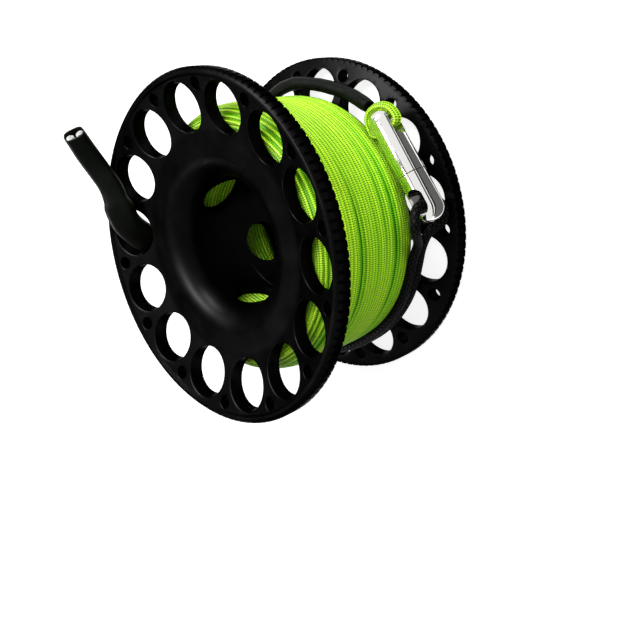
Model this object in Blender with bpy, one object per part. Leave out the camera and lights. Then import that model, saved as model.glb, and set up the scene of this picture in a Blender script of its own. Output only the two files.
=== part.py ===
"""Finger spool for a diver's marker line.

The spool is two like turned halves, each a flange with half of the hub. They meet at the middle of the hub,
a spigot in a socket, and are turned half a hole pitch against each other. Braided line is wound between the
flanges. Its end runs through a heat-shrink sleeve to the eye of a barrel swivel. An elastic cord, doubled
through the swivel's other eye, runs round the wound line and out through a hole of the front flange, where a
second sleeve covers its two ends.

Frame: metres, +Z along the spool's axis. The spool lies on its back flange, whose outer face is z = 0, and
the bore's axis is x = y = 0.
"""

import math

import bmesh
import bpy
from mathutils import Matrix, Vector

MM = 0.001

# Clearance between pieces that touch
CLEARANCE = 0.3 * MM

# Spool halves
FLANGE_RADIUS = 40.0 * MM
SPOOL_WIDTH = 43.2 * MM
FLANGE_THICKNESS = 3.6 * MM
FLANGE_SLOPE = 0.25
EDGE_CHAMFER = 0.8 * MM
RIM_LAND = 1.7 * MM
WEB_STEP_RUN = 0.3 * MM
WEB_STEP = 0.6 * MM
HOLE_TO_LIP = 0.4 * MM
KNURL_PER_HOLE = 9
KNURL_DEPTH = 0.5 * MM
KNURL_GROOVE_WIDTH = 0.7 * MM
HOLE_COUNT = 14
HOLE_INSET = 8.3 * MM
HOLE_RADIUS = 5.8 * MM
SMALL_HOLE_INSET = 3.75 * MM
SMALL_HOLE_RADIUS = 1.5 * MM
BORE_RADIUS = 15.0 * MM
HUB_WALL = 2.0 * MM
FLARE_RADIUS = 6.0 * MM
HUB_FILLET_RADIUS = 5.0 * MM
WINDOW_COUNT = 3
WINDOW_RADIUS = 5.2 * MM
WINDOW_DEPTH = 15.0 * MM
SPIGOT_LENGTH = 2.0 * MM
SPIGOT_WALL = 0.8 * MM
WINDOW_TURN = math.radians(2.15)
FRONT_TURN = math.radians(12.1)
BACK_TURN = math.radians(307.8)

# Wound line
LINE_DIAMETER = 1.2 * MM
PACK_RADIUS = 31.1 * MM
PACK_DROP = 4.5 * MM
PACK_FULLNESS = 6
OUTER_TURNS = 15
POINTS_PER_TURN = 24
PACK_END_ANGLE = math.radians(138.0)

# Line end: the lead, its sleeve and the loop in the swivel
LEAD_DIAMETER = 1.5 * MM
SLEEVE_WALL = 0.6 * MM
LOOP_WIDTH = 2.2 * MM
LOOP_THICKNESS = 1.0 * MM

# Barrel swivel
SWIVEL_RADIUS = 3.35 * MM
SWIVEL_LENGTH = 28.7 * MM
SWIVEL_LINE_END_LENGTH = 17.0 * MM
SWIVEL_FOOT_ANGLE = math.radians(18.6)
SWIVEL_TOP_OFFSET = 7.7 * MM
SWIVEL_LIFT = 1.4 * MM
EYE_WIDTH = 4.0 * MM
EYE_LENGTH = 6.3 * MM
EYE_BRIDGE = 1.8 * MM
LINE_EYE_TURN = math.radians(5.0)
CORD_EYE_TURN = math.radians(90.0)
PIN_RADIUS = 1.0 * MM
PIN_HEAD_RADIUS = 1.9 * MM
PIN_HEAD_HEIGHT = 1.4 * MM
PIN_SEAT_DEPTH = 2.4 * MM
WASHER_THICKNESS = 0.6 * MM
COLLAR_THICKNESS = 1.6 * MM
HEAD_ROOM = 1.2 * MM

# Elastic cord and the sleeve over its ends
CORD_DIAMETER = 2.2 * MM
CORD_SLEEVE_WALL = 0.35 * MM
CORD_SLEEVE_ROOM = 0.45 * MM
CORD_END_DEPTH = 1.5 * MM

# Facets
HUB_SEGMENTS = 36
WEB_SEGMENTS = 63
CORE_SEGMENTS = 28
HOLE_SEGMENTS = 18
SMALL_HOLE_SEGMENTS = 8
SWIVEL_SEGMENTS = 20
ARC_STEPS = 5

HALF_WIDTH = SPOOL_WIDTH / 2
RIM_INNER_RADIUS = FLANGE_RADIUS - RIM_LAND
WEB_RADIUS = RIM_INNER_RADIUS - WEB_STEP_RUN
HOLE_CIRCLE_RADIUS = FLANGE_RADIUS - HOLE_INSET
SMALL_HOLE_CIRCLE_RADIUS = FLANGE_RADIUS - SMALL_HOLE_INSET
LIP_OUTER_RADIUS = HOLE_CIRCLE_RADIUS - HOLE_RADIUS - HOLE_TO_LIP
HUB_RADIUS = BORE_RADIUS + HUB_WALL
HOLE_PITCH = 2 * math.pi / HOLE_COUNT


# ---------------------------------------------------------------- small helpers

def clear_scene():
    for obj in list(bpy.data.objects):
        bpy.data.objects.remove(obj, do_unlink=True)


def principled(name, colour, metallic, roughness):
    material = bpy.data.materials.new(name)
    material.use_nodes = True
    shader = material.node_tree.nodes["Principled BSDF"]
    shader.inputs["Base Color"].default_value = (*colour, 1.0)
    shader.inputs["Metallic"].default_value = metallic
    shader.inputs["Roughness"].default_value = roughness
    return material


def add_object(name, data, material, parent=None):
    obj = bpy.data.objects.new(name, data)
    obj.data.materials.append(material)
    obj.parent = parent
    bpy.context.collection.objects.link(obj)
    return obj


def finish_mesh(name, bm, smooth_angle=math.radians(35)):
    bmesh.ops.recalc_face_normals(bm, faces=bm.faces)
    mesh = bpy.data.meshes.new(name)
    bm.to_mesh(mesh)
    bm.free()
    mesh.shade_smooth()
    mesh.set_sharp_from_angle(angle=smooth_angle)
    return mesh


def polar(radius, angle, z):
    return Vector((radius * math.cos(angle), radius * math.sin(angle), z))


def ring(bm, radius, height, count, centre=(0.0, 0.0)):
    """Vertices of a circle. The height is a number, or a function of the distance from the axis."""
    loop = []
    for i in range(count):
        angle = 2 * math.pi * i / count
        x = centre[0] + radius * math.cos(angle)
        y = centre[1] + radius * math.sin(angle)
        z = height(math.hypot(x, y)) if callable(height) else height
        loop.append(bm.verts.new((x, y, z)))
    return loop


def wall(bm, lower, upper):
    """Quads between two closed loops of equal count."""
    for i in range(len(lower)):
        j = (i + 1) % len(lower)
        bm.faces.new((lower[i], lower[j], upper[j], upper[i]))


def loop_edges(bm, loop):
    edges = []
    for i in range(len(loop)):
        pair = (loop[i], loop[(i + 1) % len(loop)])
        edges.append(bm.edges.get(pair) or bm.edges.new(pair))
    return edges


def fill_between(bm, loops):
    """Face inside the first loop and outside the others, seen along Z."""
    edges = [edge for loop in loops for edge in loop_edges(bm, loop)]
    bmesh.ops.triangle_fill(bm, use_beauty=True, edges=edges, normal=(0, 0, 1))


def revolve(bm, profile, count):
    """Turn a list of (radius, z) about Z. A radius of zero is a pole. The profile closes on itself."""
    rows = []
    for radius, z in profile:
        rows.append([bm.verts.new((0.0, 0.0, z))] if radius == 0 else ring(bm, radius, z, count))
    for a, b in zip(rows, rows[1:] + rows[:1]):
        if len(a) == 1 and len(b) == 1:
            continue
        if len(a) == 1 or len(b) == 1:
            pole, loop = (a[0], b) if len(a) == 1 else (b[0], a)
            for i in range(count):
                bm.faces.new((pole, loop[i], loop[(i + 1) % count]))
        else:
            wall(bm, a, b)


def turned(name, profile, count, material, parent=None):
    bm = bmesh.new()
    revolve(bm, profile, count)
    return add_object(name, finish_mesh(name, bm), material, parent)


def arc(centre_radius, centre_z, radius, start, end, steps):
    """Points (radius, z) along an arc, with angles measured from the radial direction."""
    points = []
    for i in range(steps + 1):
        angle = start + (end - start) * i / steps
        points.append((centre_radius + radius * math.cos(angle), centre_z + radius * math.sin(angle)))
    return points


def cut(target, cutter):
    cutter.hide_render = True
    cutter.display_type = "WIRE"
    modifier = target.modifiers.new("cut " + cutter.name, "BOOLEAN")
    modifier.operation = "DIFFERENCE"
    modifier.object = cutter


def smooth_points(route, spacing, closed=False):
    """Even points on a smooth curve through the route's own points."""
    count = len(route)
    spans = count if closed else count - 1
    dense = []
    for i in range(spans):
        p1, p2 = route[i], route[(i + 1) % count]
        p0 = route[i - 1] if closed or i > 0 else p1 * 2 - p2
        p3 = route[(i + 2) % count] if closed or i + 2 < count else p2 * 2 - p1
        for j in range(16):
            t = j / 16
            dense.append(0.5 * (2 * p1 + (p2 - p0) * t + (2 * p0 - 5 * p1 + 4 * p2 - p3) * t * t
                                + (3 * p1 - p0 - 3 * p2 + p3) * t * t * t))
    dense.append(route[0].copy() if closed else route[-1].copy())
    lengths = [0.0]
    for a, b in zip(dense, dense[1:]):
        lengths.append(lengths[-1] + (b - a).length)
    steps = max(2, round(lengths[-1] / spacing))
    points, k = [], 0
    for i in range(steps + 1):
        want = lengths[-1] * i / steps
        while k < len(dense) - 2 and lengths[k + 1] < want:
            k += 1
        part = (want - lengths[k]) / (lengths[k + 1] - lengths[k])
        points.append(dense[k].lerp(dense[k + 1], part))
    return points[:-1] if closed else points


def path_length(points):
    return sum((b - a).length for a, b in zip(points, points[1:]))


def cord_curve(name, points, diameter, resolution, material):
    """A round cord along straight steps between points, with closed ends."""
    curve = bpy.data.curves.new(name, "CURVE")
    curve.dimensions = "3D"
    curve.bevel_depth = diameter / 2
    curve.bevel_resolution = resolution
    curve.use_fill_caps = True
    spline = curve.splines.new("POLY")
    spline.points.add(len(points) - 1)
    for point, place in zip(spline.points, points):
        point.co = (*place, 1.0)
    return add_object(name, curve, material)


def tangents(points, closed=False):
    count = len(points)
    result = []
    for i in range(count):
        before = points[i - 1] if closed or i > 0 else points[0]
        after = points[(i + 1) % count] if closed or i + 1 < count else points[-1]
        result.append((after - before).normalized())
    return result


def outward_side(place, tangent):
    """Direction across a cord that lies on the wound line: square to the cord and to the radius."""
    radial = Vector((place.x, place.y, 0.0)).normalized()
    return tangent.cross(radial).normalized()


def oval(width, height, count):
    """Outline of a band with round edges, as (across, up) pairs."""
    straight = (width - height) / 2
    outline = []
    for i in range(count):
        angle = 2 * math.pi * i / count
        shift = straight if math.cos(angle) > 1e-6 else -straight if math.cos(angle) < -1e-6 else 0.0
        outline.append((shift + height / 2 * math.cos(angle), height / 2 * math.sin(angle)))
    return outline


def swept_loops(bm, points, sides, outline, closed=False):
    loops = []
    for place, tangent, side in zip(points, tangents(points, closed), sides):
        up = side.cross(tangent).normalized()
        loops.append([bm.verts.new(place + side * a + up * b) for a, b in outline])
    for lower, upper in zip(loops, loops[1:] + (loops[:1] if closed else [])):
        wall(bm, lower, upper)
    return loops


def sleeve(name, points, sides, outer, inner, material):
    """A hollow tube along points, open at both ends."""
    bm = bmesh.new()
    skin = swept_loops(bm, points, sides, outer)
    lining = swept_loops(bm, points, sides, inner)
    for end in (0, -1):
        wall(bm, skin[end], lining[end])
    return add_object(name, finish_mesh(name, bm, math.radians(60)), material)


# ---------------------------------------------------------------- spool halves

def outer_face(radius):
    """Depth of the dished web's outer face."""
    return WEB_STEP + FLANGE_SLOPE * (WEB_RADIUS - radius)


def inner_face(radius):
    """Depth of the flange's face on the line side."""
    return FLANGE_THICKNESS + FLANGE_SLOPE * (FLANGE_RADIUS - radius)


def hub_fillet(gap, steps):
    """Outside of the hub where it runs into the flange, a gap away from it, from the cylinder outwards."""
    slope = math.atan(FLANGE_SLOPE)
    centre = HUB_RADIUS + HUB_FILLET_RADIUS
    tangent_radius = centre - HUB_FILLET_RADIUS * math.sin(slope)
    depth = inner_face(tangent_radius) + HUB_FILLET_RADIUS * math.cos(slope)
    return arc(centre, depth, HUB_FILLET_RADIUS - gap, math.pi, 1.5 * math.pi - slope, steps)


def knurled_loop(bm, height):
    """Outline of the rim: wide lands with a narrow groove between them."""
    count = HOLE_COUNT * KNURL_PER_HOLE
    pitch = 2 * math.pi / count
    half_groove = KNURL_GROOVE_WIDTH / 2 / FLANGE_RADIUS
    loop = []
    for i in range(count):
        for radius, shift in ((FLANGE_RADIUS - KNURL_DEPTH, 0.0), (FLANGE_RADIUS, half_groove),
                              (FLANGE_RADIUS, pitch - half_groove)):
            z = height(radius) if callable(height) else height
            loop.append(bm.verts.new(polar(radius, i * pitch + shift, z)))
    return loop


def chamfer_rim(bm, circle, knurl):
    """Join a plain circle, one vertex per groove, to the grooved rim."""
    count = len(circle)
    for i in range(count):
        j = (i + 1) % count
        groove, land_start, land_end = knurl[3 * i:3 * i + 3]
        bm.faces.new((circle[i], groove, land_start))
        bm.faces.new((circle[i], land_start, land_end, circle[j]))
        bm.faces.new((circle[j], land_end, knurl[3 * j]))


def flange_holes(bm, height):
    loops = []
    for i in range(HOLE_COUNT):
        large = polar(HOLE_CIRCLE_RADIUS, i * HOLE_PITCH, 0)
        small = polar(SMALL_HOLE_CIRCLE_RADIUS, (i + 0.5) * HOLE_PITCH, 0)
        loops.append(ring(bm, HOLE_RADIUS, height, HOLE_SEGMENTS, large[:2]))
        loops.append(ring(bm, SMALL_HOLE_RADIUS, height, SMALL_HOLE_SEGMENTS, small[:2]))
    return loops


def hub_profile(spigot):
    """From the edge of the dished web over the lip, through the bore and back along the hub's outside."""
    lip_depth = outer_face(LIP_OUTER_RADIUS)
    lip = [(LIP_OUTER_RADIUS, lip_depth)]
    lip += arc(BORE_RADIUS + FLARE_RADIUS, lip_depth + FLARE_RADIUS, FLARE_RADIUS,
               1.5 * math.pi, math.pi, ARC_STEPS)
    joint = HALF_WIDTH - CLEARANCE / 2
    if spigot:
        tip = BORE_RADIUS + SPIGOT_WALL
        reach = joint + SPIGOT_LENGTH
        end = [(BORE_RADIUS, reach), (tip, reach), (tip, joint), (HUB_RADIUS, joint)]
    else:
        socket = BORE_RADIUS + SPIGOT_WALL + CLEARANCE
        floor = joint - SPIGOT_LENGTH
        end = [(BORE_RADIUS, floor), (socket, floor), (socket, joint), (HUB_RADIUS, joint)]
    return lip + end + hub_fillet(0.0, ARC_STEPS - 1)


def spool_half(name, spigot, material, parent):
    bm = bmesh.new()
    count = HOLE_COUNT * KNURL_PER_HOLE
    land_edge = ring(bm, FLANGE_RADIUS - EDGE_CHAMFER, 0.0, count)
    front_knurl = knurled_loop(bm, EDGE_CHAMFER)
    back_knurl = knurled_loop(bm, inner_face)
    chamfer_rim(bm, land_edge, front_knurl)
    wall(bm, front_knurl, back_knurl)
    land_inside = ring(bm, RIM_INNER_RADIUS, 0.0, WEB_SEGMENTS)
    web_edge = ring(bm, WEB_RADIUS, WEB_STEP, WEB_SEGMENTS)
    fill_between(bm, [land_edge, land_inside])
    wall(bm, land_inside, web_edge)
    front_holes = flange_holes(bm, outer_face)
    back_holes = flange_holes(bm, inner_face)
    for front, back in zip(front_holes, back_holes):
        wall(bm, front, back)
    rows = [ring(bm, radius, z, HUB_SEGMENTS) for radius, z in hub_profile(spigot)]
    for a, b in zip(rows, rows[1:]):
        wall(bm, a, b)
    fill_between(bm, [web_edge, rows[0]] + front_holes)
    fill_between(bm, [back_knurl, rows[-1]] + back_holes)
    half = add_object(name, finish_mesh(name, bm), material, parent)
    for i in range(WINDOW_COUNT):
        cut(half, window_cutter(name, i, material, parent))
    return half


def window_cutter(name, index, material, parent):
    """A radial drill through one side of the hub wall."""
    bm = bmesh.new()
    reach = HUB_RADIUS + HUB_FILLET_RADIUS
    inner = ring(bm, WINDOW_RADIUS, BORE_RADIUS / 2, HOLE_SEGMENTS)
    outer = ring(bm, WINDOW_RADIUS, reach, HOLE_SEGMENTS)
    wall(bm, inner, outer)
    fill_between(bm, [inner])
    fill_between(bm, [outer])
    angle = WINDOW_TURN + 2 * math.pi * index / WINDOW_COUNT
    place = Matrix.Translation((0, 0, WINDOW_DEPTH)) @ Matrix.Rotation(angle, 4, "Z")
    bmesh.ops.transform(bm, matrix=place @ Matrix.Rotation(math.pi / 2, 4, "Y"), verts=bm.verts)
    cutter_name = f"{name}_window_cutter_{index + 1}"
    return add_object(cutter_name, finish_mesh(cutter_name, bm), material, parent)


def build_spool(material):
    back_seat = bpy.data.objects.new("back_seat", None)
    back_seat.rotation_euler = (0.0, 0.0, BACK_TURN)
    front_seat = bpy.data.objects.new("front_seat", None)
    front_seat.location = (0.0, 0.0, SPOOL_WIDTH)
    front_seat.rotation_euler = (math.pi, 0.0, FRONT_TURN)
    for seat in (back_seat, front_seat):
        bpy.context.collection.objects.link(seat)
    spool_half("back_half", False, material, back_seat)
    spool_half("front_half", True, material, front_seat)


# ---------------------------------------------------------------- wound line

def pack_radius(z):
    """Outer radius of the wound line at height z: a barrel, fuller in the middle."""
    reach = abs(z - HALF_WIDTH) / (HALF_WIDTH - inner_face(PACK_RADIUS - PACK_DROP))
    return PACK_RADIUS - PACK_DROP * reach ** PACK_FULLNESS


def build_line_core(material):
    fillet = hub_fillet(CLEARANCE, ARC_STEPS - 1)
    chord_drop = PACK_RADIUS * (1 - math.cos(math.pi / POINTS_PER_TURN))
    depth = LINE_DIAMETER + CLEARANCE + chord_drop
    edge = PACK_RADIUS - PACK_DROP - depth
    bottom = inner_face(edge) + CLEARANCE / math.cos(math.atan(FLANGE_SLOPE))
    heights = [bottom + (SPOOL_WIDTH - 2 * bottom) * i / 8 for i in range(9)]
    outer = [(min(pack_radius(z) - depth, PACK_RADIUS - depth), z) for z in heights]
    outer[0] = (edge, heights[0])
    outer[-1] = (edge, heights[-1])
    inner_high = [(radius, SPOOL_WIDTH - z) for radius, z in reversed(fillet)]
    return turned("line_core", outer + inner_high + fillet, CORE_SEGMENTS, material)


def outer_turn_points():
    """Helix over the barrel, from the front flange to the back, with a straight step at each end."""
    margin = inner_face(PACK_RADIUS - PACK_DROP) + CLEARANCE + LINE_DIAMETER / 2
    low, high = margin, SPOOL_WIDTH - margin
    steps = OUTER_TURNS * POINTS_PER_TURN
    points = []
    for i in range(steps + 1):
        z = high + (low - high) * i / steps
        angle = PACK_END_ANGLE - 2 * math.pi * (i - steps) / POINTS_PER_TURN
        points.append(polar(pack_radius(z) - LINE_DIAMETER / 2, angle, z))
    first = (points[0] - points[1]).normalized()
    last = (points[-1] - points[-2]).normalized()
    return [points[0] + first * LINE_DIAMETER] + points + [points[-1] + last * LINE_DIAMETER]


def least_gap(points, diameter):
    """Least space between a wound tube and its own neighbouring turns."""
    least = math.inf
    for i, a in enumerate(points):
        for b in points[i + POINTS_PER_TURN // 2:i + 2 * POINTS_PER_TURN]:
            least = min(least, (a - b).length)
    return least - diameter


def build_outer_turns(material):
    points = outer_turn_points()
    print(f"outer turns: least gap {least_gap(points, LINE_DIAMETER) / MM:.2f} mm")
    cord_curve("line_outer_turns", points, LINE_DIAMETER, 1, material)
    return points


# ---------------------------------------------------------------- swivel

LOOP_REACH = math.hypot(SWIVEL_RADIUS + CLEARANCE + LOOP_THICKNESS, LOOP_WIDTH / 2)
SWIVEL_REST = (LOOP_REACH + 2 * CLEARANCE) / math.cos(math.atan(FLANGE_SLOPE))
SWIVEL_HEIGHT = inner_face(PACK_RADIUS + SWIVEL_RADIUS) + SWIVEL_REST


def swivel_frame():
    """Matrix of the swivel: origin at the centre of the line end's dome, Z out through that end."""
    foot = polar(1.0, SWIVEL_FOOT_ANGLE, 0)
    along = Vector((-foot.y, foot.x, 0.0))
    out = pack_radius(SWIVEL_HEIGHT) + SWIVEL_LIFT + SWIVEL_RADIUS
    centre = foot * out + along * SWIVEL_TOP_OFFSET + Vector((0, 0, SWIVEL_HEIGHT))
    frame = Matrix((-foot, Vector((0, 0, 1)), along)).transposed().to_4x4()
    frame.translation = centre
    return frame


LINE_TIP = SWIVEL_RADIUS
SEAM = LINE_TIP - SWIVEL_LINE_END_LENGTH
CORD_DOME = SWIVEL_RADIUS - (SWIVEL_LENGTH - SWIVEL_RADIUS)
CORD_TIP = CORD_DOME - SWIVEL_RADIUS
BARREL_BORE = PIN_HEAD_RADIUS + CLEARANCE
PIN_STACK = COLLAR_THICKNESS + WASHER_THICKNESS + PIN_HEAD_HEIGHT + 3 * CLEARANCE


def eye_cutter(name, near_tip, far, turn, material, parent):
    """A slot through the barrel with round ends, from near its tip inwards."""
    straight = (EYE_LENGTH - EYE_WIDTH) / 2
    middle = (near_tip + far) / 2
    bm = bmesh.new()
    loops = []
    for x in (-2 * SWIVEL_RADIUS, 2 * SWIVEL_RADIUS):
        loop = []
        for i in range(16):
            angle = 2 * math.pi * (i + 0.5) / 16
            shift = math.copysign(straight, math.sin(angle))
            loop.append(bm.verts.new((x, EYE_WIDTH / 2 * math.cos(angle),
                                      middle + shift + EYE_WIDTH / 2 * math.sin(angle))))
        loops.append(loop)
    wall(bm, *loops)
    for loop in loops:
        fill_between(bm, [loop])
    bmesh.ops.rotate(bm, verts=bm.verts, matrix=Matrix.Rotation(turn, 3, "Z"))
    return add_object(name, finish_mesh(name, bm), material, parent)


def build_swivel(steel, parent):
    dome = arc(0.0, 0.0, SWIVEL_RADIUS, 0.0, math.pi / 2, ARC_STEPS)[:-1]
    bore_top = SEAM + PIN_STACK + HEAD_ROOM
    line_end = turned("swivel_line_end",
                      [(0.0, LINE_TIP)] + dome[::-1] + [(SWIVEL_RADIUS, SEAM), (BARREL_BORE, SEAM),
                                                       (BARREL_BORE, bore_top), (0.0, bore_top)],
                      SWIVEL_SEGMENTS, steel, parent)
    eye_top = LINE_TIP - EYE_BRIDGE
    cut(line_end, eye_cutter("line_eye_cutter", eye_top, eye_top - EYE_LENGTH, LINE_EYE_TURN, steel, parent))

    cord_seam = SEAM - CLEARANCE
    pin_hole = PIN_RADIUS + CLEARANCE
    hole_floor = cord_seam - PIN_SEAT_DEPTH - CLEARANCE
    low_dome = [(radius, CORD_DOME - z) for radius, z in dome]
    cord_end = turned("swivel_cord_end",
                      [(0.0, CORD_TIP)] + low_dome[::-1] + [(SWIVEL_RADIUS, cord_seam), (pin_hole, cord_seam),
                                                           (pin_hole, hole_floor), (0.0, hole_floor)],
                      SWIVEL_SEGMENTS, steel, parent)
    eye_low = CORD_TIP + EYE_BRIDGE
    eye_high = eye_low + EYE_LENGTH
    cut(cord_end, eye_cutter("cord_eye_cutter", eye_high, eye_low, CORD_EYE_TURN, steel, parent))

    collar_top = SEAM + COLLAR_THICKNESS
    washer_low = collar_top + CLEARANCE
    washer_top = washer_low + WASHER_THICKNESS
    head_low = washer_top + CLEARANCE
    head_top = head_low + PIN_HEAD_HEIGHT
    turned("swivel_collar", [(pin_hole, SEAM), (BARREL_BORE - CLEARANCE, SEAM),
                             (BARREL_BORE - CLEARANCE, collar_top), (pin_hole, collar_top)],
           SWIVEL_SEGMENTS, steel, parent)
    turned("swivel_washer", [(pin_hole, washer_low), (PIN_HEAD_RADIUS, washer_low),
                             (PIN_HEAD_RADIUS, washer_top), (pin_hole, washer_top)],
           SWIVEL_SEGMENTS, steel, parent)
    pin_end = cord_seam - PIN_SEAT_DEPTH
    turned("swivel_pin", [(0.0, head_top), (PIN_HEAD_RADIUS, head_top), (PIN_HEAD_RADIUS, head_low),
                          (PIN_RADIUS, head_low), (PIN_RADIUS, pin_end), (0.0, pin_end)],
           SWIVEL_SEGMENTS, steel, parent)


def build_end_loop(material, parent):
    """Doubled line round the end of the swivel and through its eye, as a band."""
    run = SWIVEL_RADIUS + CLEARANCE + LOOP_THICKNESS / 2
    turn_in = LOOP_THICKNESS * 1.3
    middle = LINE_TIP - EYE_BRIDGE - EYE_LENGTH / 2
    inside = middle - LOOP_THICKNESS / 2
    flat = [(run * math.cos(a), run * math.sin(a)) for a in (math.pi * i / 12 for i in range(13))]
    flat += [(-run, (inside + turn_in) / 2)]
    corner = [(-run + turn_in * (1 - math.cos(a)), inside + turn_in * (1 - math.sin(a)))
              for a in (math.pi / 2 * i / 4 for i in range(5))]
    flat += corner
    flat += [(-across, up) for across, up in reversed(corner)]
    flat += [(run, (inside + turn_in) / 2)]
    turn = Matrix.Rotation(LINE_EYE_TURN, 4, "Z")
    points = [turn @ Vector((across, 0.0, up)) for across, up in flat]
    side = turn @ Vector((0.0, 1.0, 0.0))
    bm = bmesh.new()
    swept_loops(bm, points, [side] * len(points), oval(LOOP_WIDTH, LOOP_THICKNESS, 8), closed=True)
    return add_object("line_end_loop", finish_mesh("line_end_loop", bm, math.radians(60)), material, parent)


# ---------------------------------------------------------------- line lead and its sleeve

# Route of the sleeve: height over the wound line in diameters of the lead, angle in degrees, and distance
# from the back flange's outer face as a part of the spool's width
SLEEVE_ROUTE = ((0.533, 107.5, 0.1875), (1.533, 101.5, 0.1806), (2.133, 95.4, 0.1759), (2.2, 89.0, 0.1736),
                (2.067, 83.0, 0.1736), (1.667, 71.0, 0.1759), (1.667, 60.2, 0.1852), (2.0, 52.0, 0.1968))
# Direction in which the sleeve's end looks at the swivel's dome
SLEEVE_MOUTH_FACING = (0.62, -0.78, 0.02)


def sleeve_mouth(frame):
    """Where the sleeve ends, facing the loop on the swivel's dome."""
    top = frame.translation
    facing = Vector(SLEEVE_MOUTH_FACING).normalized()
    return top - facing * (LOOP_REACH + 2 * CLEARANCE)


def build_line_lead(frame, turn_points, line_material, sleeve_material):
    leaving = (turn_points[-1] - turn_points[-2]).normalized()
    start = turn_points[-1] + leaving * CLEARANCE
    route = [start, start + leaving * LEAD_DIAMETER]
    for over, angle, part in SLEEVE_ROUTE:
        radius = PACK_RADIUS + over * LEAD_DIAMETER
        route.append(polar(radius, math.radians(angle), part * SPOOL_WIDTH))
    route.append(sleeve_mouth(frame))
    points = smooth_points(route, 2.2 * LEAD_DIAMETER)
    cord_curve("line_lead", points, LEAD_DIAMETER, 2, line_material)

    first_angle = math.radians(SLEEVE_ROUTE[0][1])
    covered = [p for p in points if math.atan2(p.y, p.x) <= first_angle]
    sides = [outward_side(p, t) for p, t in zip(covered, tangents(covered))]
    bore = LEAD_DIAMETER + 2 * CLEARANCE
    outside = bore + 2 * SLEEVE_WALL
    skin = oval(outside, outside, 12)
    lining = oval(bore, bore, 12)
    sleeve("line_sleeve", covered, sides, skin, lining, sleeve_material)


# ---------------------------------------------------------------- elastic cord and its sleeve

# The cord's bend round the bridge of the swivel's eye, from the eye outwards, in diameters of the cord:
# distance past the centre of the swivel's dome, distance to the side through the eye, and distance towards
# the wound line. The front strand bulges further than the back one.
FRONT_BEND = ((-0.36, 0.00, 0.00), (-0.36, 1.00, 0.00), (-0.23, 1.82, 0.00), (0.27, 2.45, 0.09),
              (1.00, 2.68, 0.41), (1.68, 2.36, 1.09), (2.05, 1.64, 1.91))
BACK_BEND = ((-0.36, 0.00, 0.00), (-0.36, -1.00, 0.00), (-0.18, -1.77, 0.00), (0.41, -2.32, 0.05),
             (1.09, -2.23, 0.32), (1.55, -1.91, 0.91), (1.73, -1.41, 1.68))
# Middle of the doubled cord: height over the wound line in diameters of the cord, angle in degrees and part
# of the spool's width, then angle and part of the width along the wound line
CORD_START = (1.5, -15.5, 0.2315)
CORD_ROUTE_ON_PACK = ((-25.0, 0.213), (-36.0, 0.2083), (-48.0, 0.2083), (-62.0, 0.2083), (-76.0, 0.2176),
                      (-90.0, 0.2454), (-106.0, 0.3009), (-122.0, 0.3704), (-138.0, 0.4491),
                      (-153.0, 0.5324), (-166.0, 0.625))
# The cord's way out through a hole of the front flange, from the hole's centre, in diameters of the cord
CORD_HOLE = 6
STICK_ROUTE = ((-0.72, -2.94, -4.91), (-0.50, -1.76, -3.55), (-0.13, -0.76, -2.36), (0.37, 0.20, -0.91),
               (0.96, 2.11, 0.55), (1.17, 4.28, 0.88), (1.11, 6.17, 1.38), (1.03, 8.49, 2.45),
               (1.86, 11.01, 4.04))
# Directions square to both strands, with the height over the front flange at which each holds: on the wound
# line it is the radius, in the flange's hole it leans outwards, and at the free end it has turned again
HOLE_FACE = (-0.7, 0.0, -0.7)
END_FACE = (-0.71, 0.51, -0.49)
PACK_FACE_HEIGHT = -12.2 * MM
HOLE_FACE_HEIGHT = -3.2 * MM
END_FACE_HEIGHT = 5.5 * MM
# Height over the front flange at which the sleeve starts
CORD_SLEEVE_HEIGHT = -4.4 * MM


def cord_centre_line():
    """Middle of the two strands, from the swivel to their free ends."""
    rest = 2 * CLEARANCE + CORD_DIAMETER / 2
    over, angle, part = CORD_START
    route = [polar(PACK_RADIUS + over * CORD_DIAMETER, math.radians(angle), part * SPOOL_WIDTH)]
    for angle, part in CORD_ROUTE_ON_PACK:
        z = part * SPOOL_WIDTH
        fuller = z + math.copysign(CORD_DIAMETER, HALF_WIDTH - z)
        route.append(polar(pack_radius(fuller) + rest, math.radians(angle), z))
    hole = polar(HOLE_CIRCLE_RADIUS, FRONT_TURN + CORD_HOLE * HOLE_PITCH, SPOOL_WIDTH)
    route += [hole + Vector(p) * CORD_DIAMETER for p in STICK_ROUTE]
    return smooth_points(route, 2.2 * CORD_DIAMETER)


def cord_face(place):
    """Direction square to both strands at a place on the cord's route."""
    height = place.z - SPOOL_WIDTH
    radial = Vector((place.x, place.y, 0.0)).normalized()
    if height < HOLE_FACE_HEIGHT:
        part = max(0.0, (height - PACK_FACE_HEIGHT) / (HOLE_FACE_HEIGHT - PACK_FACE_HEIGHT))
        return radial.lerp(Vector(HOLE_FACE), part)
    part = min(1.0, (height - HOLE_FACE_HEIGHT) / (END_FACE_HEIGHT - HOLE_FACE_HEIGHT))
    return Vector(HOLE_FACE).lerp(Vector(END_FACE), part)


def cord_sides(points):
    """Direction from one strand to the other."""
    return [t.cross(cord_face(p)).normalized() for p, t in zip(points, tangents(points))]


def bend_points(frame, route):
    """Places of a strand's bend, in the swivel's frame turned to its eye."""
    turned_frame = frame @ Matrix.Rotation(CORD_EYE_TURN, 4, "Z")
    inward = -Vector((frame.translation.x, frame.translation.y, 0.0))
    across = frame.to_3x3().col[2].cross(Vector((0, 0, 1))).normalized()
    across = across if across.dot(inward) > 0 else -across
    size = CORD_DIAMETER
    return [turned_frame @ Vector((side * size, 0.0, CORD_DOME - out * size)) + across * (inwards * size)
            for out, side, inwards in route]


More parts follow.
